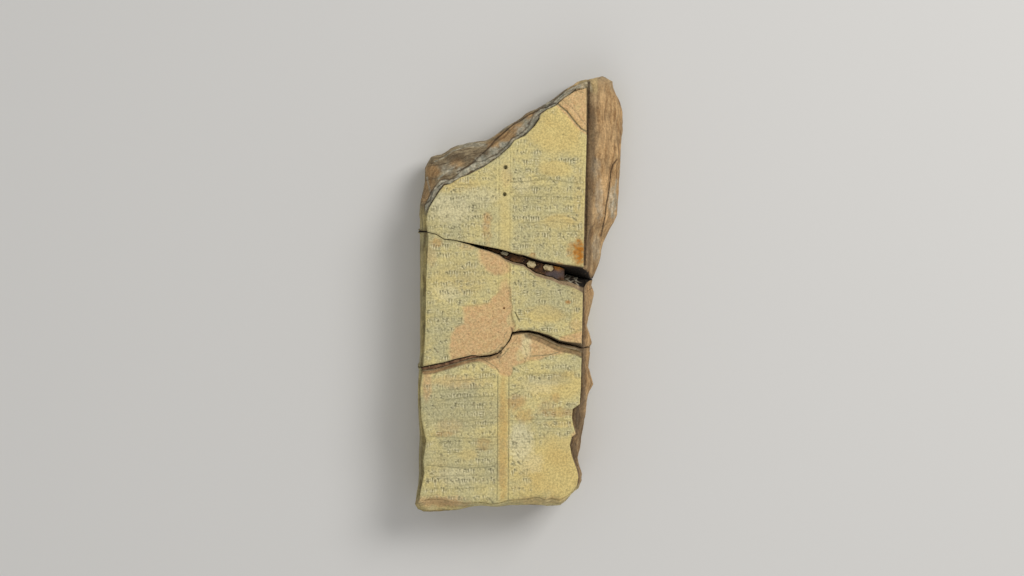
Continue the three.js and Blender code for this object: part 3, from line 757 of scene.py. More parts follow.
@dataclass
class Inscription:
    """Two columns of small marks that only look like writing, with its sizes in millimetres."""

    row_pitch: float = 4.7
    row_slope: float = math.tan(math.radians(1.2))
    top_row: float = 104.5
    rule_x: float = -7.2
    rule_lean: float = math.tan(math.radians(0.3))
    rule_half: float = 2.8
    column: float = 36.5
    bottom_row: float = -105.0
    worn_marks: int = 5200
    mark_pitch: float = 1.25
    tilt: float = 0.16
    seed: int = 7

    def write(self, stylus: Stylus) -> None:
        """Writes both columns, over the dents of older, worn-out marks.

        Args:
            stylus: what presses the marks.
        """
        dice = np.random.default_rng(self.seed)
        for _ in range(self.worn_marks):
            head = dice.uniform((-50.0, -104.0), (34.0, 106.0))
            angle = dice.choice((-math.pi / 2, 0.0, -math.pi / 4)) + dice.uniform(-0.3, 0.3)
            length, width = dice.uniform(0.9, 2.6), dice.uniform(0.8, 1.6)
            stylus.wedge(head, angle, length, width, dice.uniform(0.03, 0.26))
        inner, outer = self.rule_half + 1.0, self.rule_half + self.column - 0.3
        for near, far in ((-outer, -inner), (inner, outer)):
            for y in np.arange(self.top_row, self.bottom_row, -self.row_pitch):
                middle = self.rule_x + y * self.rule_lean
                self._row(stylus, dice, (middle + near, middle + far), y)

    def rule(self, stylus: Stylus) -> None:
        """Scores the double line between the columns, clear low down and worn above the crack.

        Args:
            stylus: what scores the lines.
        """
        for side in (-1, 1):
            offset = self.rule_x + side * self.rule_half
            for low, high, width, depth in ((-102.0, -40.0, 0.9, 0.42), (-4.0, 73.0, 1.1, 0.16)):
                ends = np.array([[offset + y * self.rule_lean, y] for y in (low, high)])
                stylus.groove(ends, width, depth)

    def _row(
        self, stylus: Stylus, dice: np.random.Generator, ends: tuple[float, float], y: float
    ) -> None:
        """Writes one row.

        Args:
            stylus: what presses the marks.
            dice: where the order of the marks comes from.
            ends: the row's left and right end.
            y: the row's height at its left end.
        """
        start, end = ends
        for _ in range(5):
            low = dice.uniform(start, end - 4.0)
            high = min(end, low + dice.uniform(3.0, 11.0))
            drop = dice.uniform(1.9, 2.5)
            line = np.array([[x, y - drop + (x - start) * self.row_slope] for x in (low, high)])
            stylus.groove(line, dice.uniform(0.8, 1.6), dice.uniform(0.05, 0.24))
        x = start + 0.4
        while x < end - 1.2:
            x += self._sign(stylus, dice, np.array([x, y + (x - start) * self.row_slope]), end)

    def _sign(
        self, stylus: Stylus, dice: np.random.Generator, base: np.ndarray, end: float
    ) -> float:
        """Presses one group of marks.

        Args:
            stylus: what presses the marks.
            dice: where the order of the marks comes from.
            base: the group's left side, at mid height.
            end: the row's right end.

        Returns:
            The room that it takes along the row.
        """
        kind, depth = dice.random(), dice.uniform(0.22, 0.6)
        room = min(dice.uniform(1.3, 3.6), end - base[0])
        if kind < 0.4:
            for n in range(max(1, round(room / self.mark_pitch))):
                top = base + [0.5 + n * self.mark_pitch, dice.uniform(0.6, 2.0)]
                angle = -math.pi / 2 + dice.uniform(-self.tilt, self.tilt)
                stylus.wedge(top, angle, dice.uniform(1.6, 3.8), 1.25, depth)
        elif kind < 0.7:
            for lift in (1.4, 0.2, -1.0)[: dice.integers(1, 4)]:
                head = base + [dice.uniform(0.0, 0.7), lift + dice.uniform(-0.3, 0.3)]
                angle = dice.uniform(-self.tilt, self.tilt)
                stylus.wedge(head, angle, room * dice.uniform(0.5, 1.0), 1.1, depth)
            top = base + [dice.uniform(0.3, room), dice.uniform(1.0, 1.9)]
            angle = -math.pi / 2 + dice.uniform(-self.tilt, self.tilt)
            stylus.wedge(top, angle, dice.uniform(1.6, 3.2), 1.2, depth)
        else:
            for _ in range(dice.integers(1, 4)):
                head = base + [dice.uniform(0.0, room), dice.uniform(-0.6, 1.5)]
                stylus.wedge(head, dice.uniform(-1.2, -0.4), dice.uniform(1.2, 2.2), 1.5, depth)
        return room + dice.uniform(0.1, 0.5)


class Mask(Enum):
    """The colour masks that the clay's finish reads from its surface."""

    # grime and painted shade in the marks and hollows
    GRIME_AND_SHADE = "grime_and_shade"
    # painted highlights on the ridges beside the marks, and rubbed places
    HIGHLIGHT_AND_RUBBED = "highlight_and_rubbed"
    CORE = "core"
    BROKEN = "broken"
    PALE = "pale"
    YELLOW = "yellow"
    SLATE = "slate"
    RUST = "rust"
    # painted shade on the edges, walls and cracks, with some soot
    SHADE_AND_SOOT = "shade_and_soot"
    LAYER = "layer"
    TAN = "tan"


class Weathering:
    """Works out what wear and dirt did, and where shade and highlights are painted, wherever it
    depends on the place seen from above.
    """

    NOISE_SEED = 41
    PIT_SEED = 9
    PITS = 1500
    WALL_WIDER = 1.6
    RIM_REACH = 9.0
    SIDE_REACH = 22.0
    CRACK_REACH = 5.0

    def __init__(self) -> None:
        """Draws up all charts."""
        self.noise = Noise(self.NOISE_SEED)
        self.chart = Chart(self.noise)
        self.broad = self.chart.cloud(11.0, 3, 90.0)
        self.fine = self.chart.cloud(2.6, 3)
        self.inscription = Inscription()
        self.grids: Grids = {}
        self._survey()
        self._round()
        self._flake()
        self._write()
        self._score()
        self._relief()
        self._stain()

    def _survey(self) -> None:
        """Measures the outline, its sides and the cracks."""
        chart = self.chart
        outline = np.vstack([millimetres(line)[:-1] for line in RIM.values()])
        self.grids["inward"] = chart.inward(outline, self.RIM_REACH)
        for side, line in RIM.items():
            self.grids[side.value] = chart.distance(millimetres(line), self.SIDE_REACH)
        cracks = (UPPER_CRACK, LOWER_CRACK)
        openings = [chart.inward(crack.opening(), self.CRACK_REACH) for crack in cracks]
        self.grids["opening"] = np.maximum(*openings)
        upper, lower = (np.interp(chart.x, *crack.line(2).T) for crack in cracks)
        nearest = np.where(chart.y > (upper + lower) / 2.0, chart.y - upper, chart.y - lower)
        self.grids["above"] = np.clip(nearest, -6.0, 6.0)

    def _flake(self) -> None:
        """Lays out the flaked patches: their depth, and where the core shows."""
        depth, cover = np.zeros(self.chart.cells), np.zeros(self.chart.cells)
        ragged = self.chart.cloud(6.0, 3, 30.0)
        for flake in FLAKES:
            inside = self.chart.inward(millimetres(flake.outline), 6.0) + flake.ragged * ragged
            depth = np.maximum(depth, flake.depth * smooth(-flake.bevel, 0.15, inside))
            cover = np.maximum(cover, smooth(-flake.soft, flake.soft, inside))
        self.grids["flake"], self.grids["cover"] = depth, cover
        self.cover = cover

    def _write(self) -> None:
        """Presses the writing and wears it."""
        chart, grids, layout = self.chart, self.grids, self.inscription
        writing = Stylus(chart)
        layout.write(writing)
        LOG.info("the face has %d small marks", writing.marks)
        across = np.abs(chart.x - layout.rule_x - chart.y * layout.rule_lean)
        between = smooth(layout.rule_half + 1.1, layout.rule_half + 0.5, across)
        self.bare = np.maximum(chart.patches(BARE, self.broad), between)
        wear = np.clip(0.85 + 0.55 * chart.cloud(14.0, 3, 50.0), 0.3, 1.15)
        sound = (1.0 - self.bare) * (1.0 - 0.9 * self.cover)
        marks = writing.depth * wear * sound * smooth(0.2, 1.2, grids["inward"])
        self.marks = marks * smooth(-0.2, -1.0, grids["opening"])

    def _score(self) -> None:
        """Adds the lines, holes and pits of the face, the lines of the breaks, and the strips of
        painted shade beside the cracks.
        """
        chart, grids = self.chart, self.grids
        lines, walls, pale, bands = (Stylus(chart) for _ in range(4))
        self.inscription.rule(lines)
        lines.score(FACE_LINES)
        for x, y, radius, depth in RULE_HOLES:
            lines.hole(np.array([x, y]) * SQUARE, radius, depth)
        dice = np.random.default_rng(self.PIT_SEED)
        for _ in range(self.PITS):
            radius = 0.18 + 0.3 * dice.random() ** 3
            lines.hole(dice.uniform(chart.LOW, chart.HIGH), radius, radius * dice.uniform(0.3, 0.8))
        walls.score(WALL_LINES, self.WALL_WIDER)
        pale.score(PALE_LINES)
        bands.score(SHADE_BANDS)
        grids["lines"] = lines.depth
        grids["wall lines"] = walls.depth * (0.75 + 0.5 * self.fine)
        grids["pale lines"] = smooth(0.1, 0.6, pale.depth)
        # Strips of painted shade beside the cracks
        grids["bands"] = bands.depth * np.clip(0.9 + 0.5 * self.fine, 0.0, 1.2)

    def _relief(self) -> None:
        """Adds up the fine relief of the face and all that is carved into it."""
        chart, grids = self.chart, self.grids
        swell = 0.1 * (1.0 + chart.cloud(20.0, 2, 70.0))
        grain = 0.05 * (1.0 + chart.cloud(1.2, 2, 10.0)) * (1.0 - 0.6 * self.bare)
        crumbly = self.cover * 0.1 * (1.0 + chart.cloud(2.0, 3, 20.0))
        grids["fine relief"] = swell + grain + crumbly
        grids["carving"] = np.maximum.reduce([self.marks, grids["lines"], self._chips()])

    def _chips(self) -> np.ndarray:
        """Chips the edges along the breaks and cracks.

        Returns:
            The depth of the chips.
        """

        def falling(away: np.ndarray, edge: float | np.ndarray) -> np.ndarray:
            """Returns 1 on a line, falling to 0 at an edge beside it."""
            return np.clip(1.0 - away / edge, 0.0, 1.0)

        chart, grids = self.chart, self.grids
        reach = chart.cloud(7.0, 3, 60.0)
        lip = LOWER_CRACK.line(3)
        right, left = lip[(lip[:, 0] > 5.0) & (lip[:, 0] < 40.0)], lip[lip[:, 0] < -9.0]
        total = 2.3 * falling(chart.distance(right, 3.5), 3.2) * (grids["above"] < 0.0)
        total = np.maximum(total, 1.3 * falling(chart.distance(left, 3.0), 2.3))
        grids["lip"] = smooth(0.1, 0.8, total)
        wide = 1.0 + 1.6 * np.clip(reach, -0.6, 1.0)
        for side, width, depth in (
            (Side.UPPER, 0.5, 0.6), (Side.RIGHT, 0.3, 0.6), (Side.LOWER, 1.0, 0.5),
        ):
            edge = np.maximum(width * wide, 0.05)
            total = np.maximum(total, depth * falling(grids[side.value], edge))
        edge = 0.25 + 1.1 * np.clip(reach - 0.1, 0.0, 1.0)
        return np.maximum(total, 0.5 * falling(np.abs(grids["opening"]), edge))

    def _round(self) -> None:
        """Works out how low the face lies where its left and lower edges are rounded."""
        inside = np.sign(self.grids["inward"])
        total = np.zeros(self.chart.cells)
        for side, width, depth in ((Side.LEFT, 4.0, 0.9), (Side.LOWER, 4.0, 1.5)):
            share = np.clip(1.0 - inside * self.grids[side.value] / width, 0.0, 1.8)
            total = np.maximum(total, depth * share**2)
        self.grids["rounding"] = total

    def _stain(self) -> None:
        """Lays out the colours."""
        chart, grids = self.chart, self.grids
        marks, lines = self.marks, grids["lines"]
        carved = np.maximum(marks, lines)
        # Painted highlights on the ridges around the marks
        highlight_ridge = chart.eased(marks, 3) - carved
        smear = np.clip(0.85 + 0.9 * chart.cloud(5.0, 3, 120.0), 0.4, 1.1)
        # Grime and painted shade in the marks, the ruled lines and the holes
        grime_and_shade = chart.eased(smooth(0.02, 0.32, marks) * smear, 1)
        grids[Mask.GRIME_AND_SHADE.value] = np.maximum(grime_and_shade, 0.85 * smooth(0.05, 0.45, lines))
        frost = chart.patches(FROST, self.fine)
        grids[Mask.HIGHLIGHT_AND_RUBBED.value] = np.maximum(smooth(0.02, 0.12, highlight_ridge), frost)
        blush = chart.patches(BLUSH, self.fine + self.broad)
        left_over = 1.0 - chart.patches(LEFT_OVER, self.fine)
        core = np.maximum(self.cover, blush) * (0.85 + 0.4 * self.fine) * left_over
        grids[Mask.CORE.value] = np.clip(core, 0.0, 1.0)
        for mask, places, wander in (
            (Mask.YELLOW, YELLOW, self.broad), (Mask.SLATE, SLATE, self.broad),
            (Mask.RUST, RUST, self.fine), (Mask.PALE, PALE, self.fine),
            (Mask.TAN, TAN, self.broad), (Mask.SHADE_AND_SOOT, SHADE_AND_SOOT, self.fine),
        ):
            grids[mask.value] = chart.patches(places, wander)


class Surface:
    """What is known of each point of one clay surface."""

    THICK_LAYERS = (16.0, 16.0, 4.2)
    THIN_LAYERS = (7.0, 7.0, 1.3)
    LOWER_PULL = 2.4
    LEFT_PULL = 0.9

    def __init__(self, points: np.ndarray, normals: np.ndarray, weathering: Weathering) -> None:
        """Reads the charts at each point.

        Args:
            points: places in millimetres, one row each.
            normals: the way that each faces.
            weathering: the charts.
        """
        self.points, self.normals, self.noise = points, normals, weathering.noise
        self.sink = THICKNESS - points[:, 2]
        self.here = weathering.chart.read(weathering.grids, points[:, :2])
        self.inward = self.here["inward"]
        opening = smooth(-0.3, 0.1, self.here["opening"])
        top = smooth(3.4, 2.9, self.sink) * smooth(-0.7, 0.0, self.inward)
        self.face = top * (1.0 - opening * smooth(0.25, 0.8, self.sink))
        self.seen = smooth(-0.05, 0.25, normals[:, 2])
        self.reverse = smooth(0.35, 0.7, -normals[:, 2]) * smooth(20.0, 30.0, self.sink)

    def beside(self, side: Side) -> np.ndarray:
        """Finds the wall of one side.

        Args:
            side: the side.

        Returns:
            1 on its wall and 0 on the others.
        """
        others = np.minimum.reduce([self.here[other.value] for other in Side if other is not side])
        wall = smooth(0.4, -0.4, self.inward) * (1.0 - self.reverse)
        return wall * smooth(-1.5, 1.5, others - self.here[side.value])

    def across(self) -> np.ndarray:
        """Returns how far each point lies above the nearest crack's closed line."""
        return self.here["above"] - BREAK_LEAN * self.sink

    def crack_wall(self) -> np.ndarray:
        """Finds the walls of the cracks.

        Returns:
            1 on them and 0 elsewhere.
        """
        beside = smooth(1.2, 0.6, np.abs(self.across()))
        near = np.maximum(smooth(-0.5, 0.0, self.here["opening"]), beside)
        return near * smooth(0.3, 0.9, self.sink) * (1.0 - self.reverse)

    def laminated(self) -> np.ndarray:
        """Lays the layers of a break roughly level with the face.

        Returns:
            Their relief.
        """
        warp = self.noise.layered(self.points, 12.0, 3)
        layers = self.points.copy()
        layers[:, 2] += 2.6 * warp
        coarse = 1.0 - np.abs(self.noise.at(layers, self.THICK_LAYERS))
        fine = 1.0 - np.abs(self.noise.at(layers + 40.0, self.THIN_LAYERS))
        patchy = np.clip(0.5 + 1.3 * self.noise.at(self.points + 200.0, 10.0), 0.0, 1.0)
        return 0.7 * coarse**4 + 0.45 * patchy * fine**3

    def drawn_in(self) -> np.ndarray:
        """Roughens the walls and fits them to the outline.

        Returns:
            How far each point of a wall lies in from the solid's.
        """
        crack = self.crack_wall()
        lumps = 0.5 * (1.0 + self.noise.layered(self.points, 9.0, 3))
        facets = np.abs(self.noise.at(self.points + 300.0, 15.0))
        broken = 0.75 * self.laminated() + 0.75 * lumps + 0.8 * facets
        modelled = 0.25 * (1.0 + self.noise.layered(self.points, 12.0, 3))
        lower, left = self.beside(Side.LOWER), self.beside(Side.LEFT)
        soft = np.maximum(left, self.reverse)
        outer = (broken - 0.8) * (1.0 - soft) * (1.0 - 0.5 * lower) + modelled * soft
        outer = outer * smooth(0.0, 1.6, self.sink) + self.here["wall lines"] * self.seen
        reach = np.clip(-self.inward / 5.0, 0.0, 1.2)
        outer += (self.LOWER_PULL * lower + self.LEFT_PULL * left) * reach
        for swell in SWELLS:
            away = np.hypot(self.points[:, 0] - swell.x, self.points[:, 1] - swell.y) / swell.reach
            outer -= swell.height * np.exp(-0.5 * away**2) * smooth(0.3, 2.5, self.sink)
        outer *= smooth(0.2, 1.5, np.abs(self.across()))
        return outer * (1.0 - crack) + 0.2 * broken * crack * smooth(0.0, 1.6, self.sink)

    def worn(self) -> np.ndarray:
        """Carves the face and draws in the walls.

        Returns:
            The points where wear has left them.
        """
        flake, carving, rounding = (self.here[name] for name in ("flake", "carving", "rounding"))
        carved = np.maximum(np.maximum(self.sink, flake), carving)
        scored = np.maximum(carved, flake + self.here["lines"])
        carved = np.where(flake > 0.05, scored, carved)
        carved = np.maximum(carved, rounding + 0.6 * carving)
        drop = carved - self.sink + self.here["fine relief"]
        wall = 1.0 - self.face
        moved = self.points - self.normals * (wall * self.drawn_in())[:, None]
        moved[:, 2] -= self.face * drop + wall * np.maximum(rounding - self.sink, 0.0)
        return moved

    def masks(self) -> dict[Mask, np.ndarray]:
        """Works out the colour masks.

        Returns:
            A value from 0 to 1 for each mask and point.
        """
        here, face = self.here, self.face
        crack = self.crack_wall() * smooth(0.15, 0.4, np.abs(self.normals[:, 1]))
        fine = self.noise.layered(self.points, 2.4, 3)
        lower, right, upper, left = (self.beside(side) for side in Side)
        left = left * smooth(50.0, 47.0, self.points[:, 1] + fine)
        second = smooth(-5.0, -9.0, self.points[:, 1])
        left_end = second * smooth(-7.0, -11.0, self.points[:, 0])
        sound = face * (1.0 - left_end * here["lip"])
        broken = np.clip(1.0 - sound - self.reverse - left, 0.0, 1.0)
        layers = np.clip(self.laminated(), 0.0, 1.0)
        worn_off = np.maximum(here["flake"], here["rounding"]) + 0.15
        # Painted shade in every hollow carved below the worn face
        deep = smooth(0.2, 0.6, self.sink - worn_off) * face * (1.0 - here["cover"])
        below = smooth(0.2, -0.4, self.across())
        low_lip = smooth(7.5, 5.0, self.sink) * crack * below * (1.0 - second)
        band = smooth(0.1, 0.5, self.sink) * crack * below * second
        # Painted shade on the face along the cracks' mouths
        edge = smooth(1.1, 0.2, np.abs(here["opening"]) + 0.5 * fine) * face
        # Painted shade along the steps and grooves of the walls
        lines = smooth(0.1, 0.5, here["wall lines"]) * self.seen * broken
        # Painted shade on the right wall just under its rim
        groove = smooth(2.4, 0.6, -self.inward + 0.8 * fine) * right * smooth(0.4, 1.2, self.sink)
        streaks = smooth(-0.3, 0.5, self.noise.at(self.points + 70.0, (1.6, 7.0, 1.8)))
        # Painted shade in the cracks, darker the deeper it lies
        dark = 0.45 + 0.75 * smooth(0.6, 2.5, self.sink)
        # Along the upper break: a pale band with a painted highlight just outside the rim, between
        # two lines of painted shade
        outward = -self.inward + 0.5 * fine + 0.9 * self.noise.at(self.points + 110.0, 6.0)
        far = 2.9 + 1.6 * self.noise.at(self.points + 510.0, 14.0)
        pale_rim_highlight = smooth(0.3, 0.8, outward) * smooth(0.1, -0.6, outward - far) * upper
        rim_shade_line = smooth(0.5, 0.1, np.abs(outward - 0.2))
        far_shade_line = 0.9 * smooth(0.5, 0.1, np.abs(outward - far))
        crack_shade = crack * dark * (1.0 - 0.85 * low_lip) * (1.0 - 0.6 * band)
        # Painted shade on the left edge, in the cracks, on the lips and strips beside them and
        # along the steps of the breaks; the streaks and some stains are soiling
        shade_and_soot = np.maximum.reduce([
            here[Mask.SHADE_AND_SOOT.value] * self.seen * np.maximum(left * (0.7 + 0.5 * fine), broken),
            left * (0.28 + 0.45 * streaks), 0.95 * lines,
            0.9 * groove * (0.6 + 0.4 * streaks), 0.3 * edge, 0.3 * streaks * right,
            0.85 * (np.maximum(rim_shade_line, far_shade_line) * upper),
            crack_shade * (1.0 - 0.35 * second) * (1.0 - 0.35 * left_end),
            here["lip"] * face * (0.62 - 0.24 * left_end + 0.3 * fine),
            smooth(0.1, 0.7, here["bands"]) * 0.7 * face,
        ]) * (1.0 - 0.9 * here["pale lines"] * crack)
        shown_core = np.maximum.reduce([face, lower * self.seen, upper * self.seen])
        # Painted light: the lower wall, which gets little light, takes the face's lighter colours
        # instead of the break's; on the upper break the spall shows its core
        painted_light_lower_and_spall = np.maximum(0.75 * lower, upper * here["cover"]) * self.seen
        tan_walls = here[Mask.TAN.value] * self.seen * (upper + right + lower)
        tan_lips = [0.6 * right, low_lip, 0.5 * band, left_end * here["lip"] * face]
        return {
            Mask.GRIME_AND_SHADE: np.maximum(here[Mask.GRIME_AND_SHADE.value] * face, 0.85 * deep),
            Mask.HIGHLIGHT_AND_RUBBED: here[Mask.HIGHLIGHT_AND_RUBBED.value] * face,
            Mask.CORE: here[Mask.CORE.value] * shown_core,
            Mask.BROKEN: broken * (1.0 - painted_light_lower_and_spall),
            # Pale spots, scrapes and plaster, and the painted highlight along the upper break's rim
            Mask.PALE: np.maximum.reduce([
                here[Mask.PALE.value] * self.seen * broken * (0.75 + 0.6 * fine), 0.3 * low_lip,
                pale_rim_highlight * self.seen * (0.9 + 0.7 * fine),
                here["pale lines"] * np.maximum(crack, broken * self.seen * (0.7 + 0.5 * fine)),
            ]),
            Mask.YELLOW: here[Mask.YELLOW.value] * (face + self.reverse),
            Mask.SLATE: here[Mask.SLATE.value] * face,
            Mask.RUST: here[Mask.RUST.value] * face,
            Mask.SHADE_AND_SOOT: shade_and_soot,
            Mask.LAYER: layers * broken,
            Mask.TAN: np.maximum.reduce([tan_walls, *tan_lips]),
        }


class Graph:
    """Short names for making and joining a node tree's nodes."""

    def __init__(self, tree: bpy.types.NodeTree) -> None:
        """Keeps the tree.

        Args:
            tree: the node tree to build in.
        """
        self.tree = tree

    def add(self, kind: str, **settings: object) -> bpy.types.Node:
        """Adds a node.

        Args:
            kind: the node's type.
            **settings: its options by name.

        Returns:
            The node.
        """
        node = self.tree.nodes.new(kind)
        for name, value in settings.items():
            setattr(node, name, value)
        return node

    def feed(self, socket: bpy.types.NodeSocket, source: object) -> None:
        """Joins a socket to another socket, or sets its value.

        Args:
            socket: the socket to feed.
            source: an output socket or a value.
        """
        if isinstance(source, bpy.types.NodeSocket):
            self.tree.links.new(source, socket)
        else:
            socket.default_value = source

    def math(self, operation: str, a: object, b: object = 0.0) -> bpy.types.NodeSocket:
        """Works out a sum.

        Args:
            operation: what is done with the two values.
            a: the first value or socket.
            b: the second value or socket.

        Returns:
            The result.
        """
        node = self.add("ShaderNodeMath", operation=operation)
        self.feed(node.inputs[0], a)
        self.feed(node.inputs[1], b)
        return node.outputs[0]

    def ramp(
        self, value: object, low: object, high: object, start: float = 0.0, end: float = 1.0
    ) -> bpy.types.NodeSocket:
        """Spreads a value smoothly from one range to another.

        Args:
            value: the value.
            low: where it starts to rise.
            high: where it stops rising.
            start: the result at low.
            end: the result at high.

        Returns:
            The result.
        """
        node = self.add("ShaderNodeMapRange", interpolation_type="SMOOTHSTEP")
        names = ("Value", "From Min", "From Max", "To Min", "To Max")
        for name, source in zip(names, (value, low, high, start, end)):
            self.feed(node.inputs[name], source)
        return node.outputs["Result"]

    def mix(
        self, share: object, below: object, above: object, blend: str = "MIX"
    ) -> bpy.types.NodeSocket:
        """Lays one colour over another.

        Args:
            share: how much of the upper one shows, from 0 to 1.
            below: the lower colour.
            above: the upper colour.
            blend: how they are mixed.

        Returns:
            The mixed colour.
        """
        node = self.add("ShaderNodeMix", data_type="RGBA", blend_type=blend, clamp_factor=True)
        self.feed(node.inputs[0], share)
        self.feed(node.inputs[6], below)
        self.feed(node.inputs[7], above)
        return node.outputs[2]

    def noise(
        self, place: bpy.types.NodeSocket, scale: object, detail: float = 3.0, rough: float = 0.55
    ) -> bpy.types.NodeSocket:
        """Makes cloudy noise.

        Args:
            place: where it is read.
            scale: how fine it is.
            detail: how many finer layers it has.
            rough: how strong those are.

        Returns:
            A value from 0 to 1.
        """
        node = self.add("ShaderNodeTexNoise")
        self.feed(node.inputs["Vector"], place)
        self.feed(node.inputs["Scale"], scale)
        self.feed(node.inputs["Detail"], detail)
        self.feed(node.inputs["Roughness"], rough)
        return node.outputs["Fac"]


def linear(red: int, green: int, blue: int) -> Rgba:
    """Returns a screen colour as the linear colour that a shader takes."""
    values = (value / 255.0 for value in (red, green, blue))
    return (*(v / 12.92 if v <= 0.04045 else ((v + 0.055) / 1.055) ** 2.4 for v in values), 1.0)


class Effects:
    """The shader groups that more than one finish uses."""

    BLEND = 0.14

    def __init__(self) -> None:
        """Builds each group once."""
        self.grain = self._grain()
        self.specks = self._specks()
        self.mottle = self._mottle()

    @staticmethod
    def _start(
        name: str, inputs: dict[str, tuple[str, object]], outputs: dict[str, str]
    ) -> tuple[Graph, bpy.types.Node, bpy.types.Node]:
        """Makes an empty group.

        Args:
            name: the group's name.
            inputs: each input's kind and value by name.
            outputs: each output's kind by name.

        Returns:
            The group's graph, its input node and its output node.
        """
        tree = bpy.data.node_groups.new(name, "ShaderNodeTree")
        for label, (kind, value) in inputs.items():
            socket = tree.interface.new_socket(label, in_out="INPUT", socket_type=kind)
            if value is not None:
                socket.default_value = value
        for label, kind in outputs.items():
            tree.interface.new_socket(label, in_out="OUTPUT", socket_type=kind)
        graph = Graph(tree)
        return graph, graph.add("NodeGroupInput"), graph.add("NodeGroupOutput")

    def _grain(self) -> bpy.types.NodeTree:
        """Builds the fine, sandy surface of clay.

        Returns:
            The group.
        """
        graph, given, result = self._start(
            "clay grain",
            {"Place": ("NodeSocketVector", None), "Fineness": ("NodeSocketFloat", 1500.0)},
            {"Height": "NodeSocketFloat", "Tone": "NodeSocketFloat"},
        )
        place, fineness = given.outputs["Place"], given.outputs["Fineness"]
        fine = graph.noise(place, fineness, 4.0, 0.65)
        coarse = graph.noise(place, graph.math("MULTIPLY", fineness, 0.28), 3.0)
        height = graph.math("ADD", fine, graph.math("MULTIPLY", coarse, 0.6))
        graph.feed(result.inputs["Height"], height)
        graph.feed(result.inputs["Tone"], graph.ramp(fine, 0.25, 0.75))
        return graph.tree

    def _specks(self) -> bpy.types.NodeTree:
        """Builds scattered specks of temper and dirt.

        Returns:
            The group.
        """
        graph, given, result = self._start(
            "specks",
            {
                "Place": ("NodeSocketVector", None), "Fineness": ("NodeSocketFloat", 900.0),
                "Share": ("NodeSocketFloat", 0.2),
            },
            {"Mask": "NodeSocketFloat"},
        )
        cells = graph.add("ShaderNodeTexVoronoi", feature="F1")
        graph.feed(cells.inputs["Vector"], given.outputs["Place"])
        graph.feed(cells.inputs["Scale"], given.outputs["Fineness"])
        chosen = graph.add("ShaderNodeSeparateColor")
        graph.feed(chosen.inputs[0], cells.outputs["Color"])
        picked = graph.math("LESS_THAN", chosen.outputs[0], given.outputs["Share"])
        spot = graph.ramp(cells.outputs["Distance"], 0.42, 0.2)
        graph.feed(result.inputs["Mask"], graph.math("MULTIPLY", spot, picked))
        return graph.tree

    def _mottle(self) -> bpy.types.NodeTree:
        """Builds uneven, cloudy mixing of two tones.

        Returns:
            The group.
        """
        graph, given, result = self._start(
            "mottle",
            {
                "Place": ("NodeSocketVector", None), "Fineness": ("NodeSocketFloat", 120.0),
                "Light": ("NodeSocketColor", None), "Dark": ("NodeSocketColor", None),
                "Balance": ("NodeSocketFloat", 0.5),
            },
            {"Color": "NodeSocketColor"},
        )
        cloud = graph.noise(given.outputs["Place"], given.outputs["Fineness"], 5.0, 0.62)
        low = graph.math("SUBTRACT", given.outputs["Balance"], self.BLEND)
        high = graph.math("ADD", given.outputs["Balance"], self.BLEND)
        share = graph.ramp(cloud, low, high)
        mixed = graph.mix(share, given.outputs["Dark"], given.outputs["Light"])
        graph.feed(result.inputs["Color"], mixed)
        return graph.tree


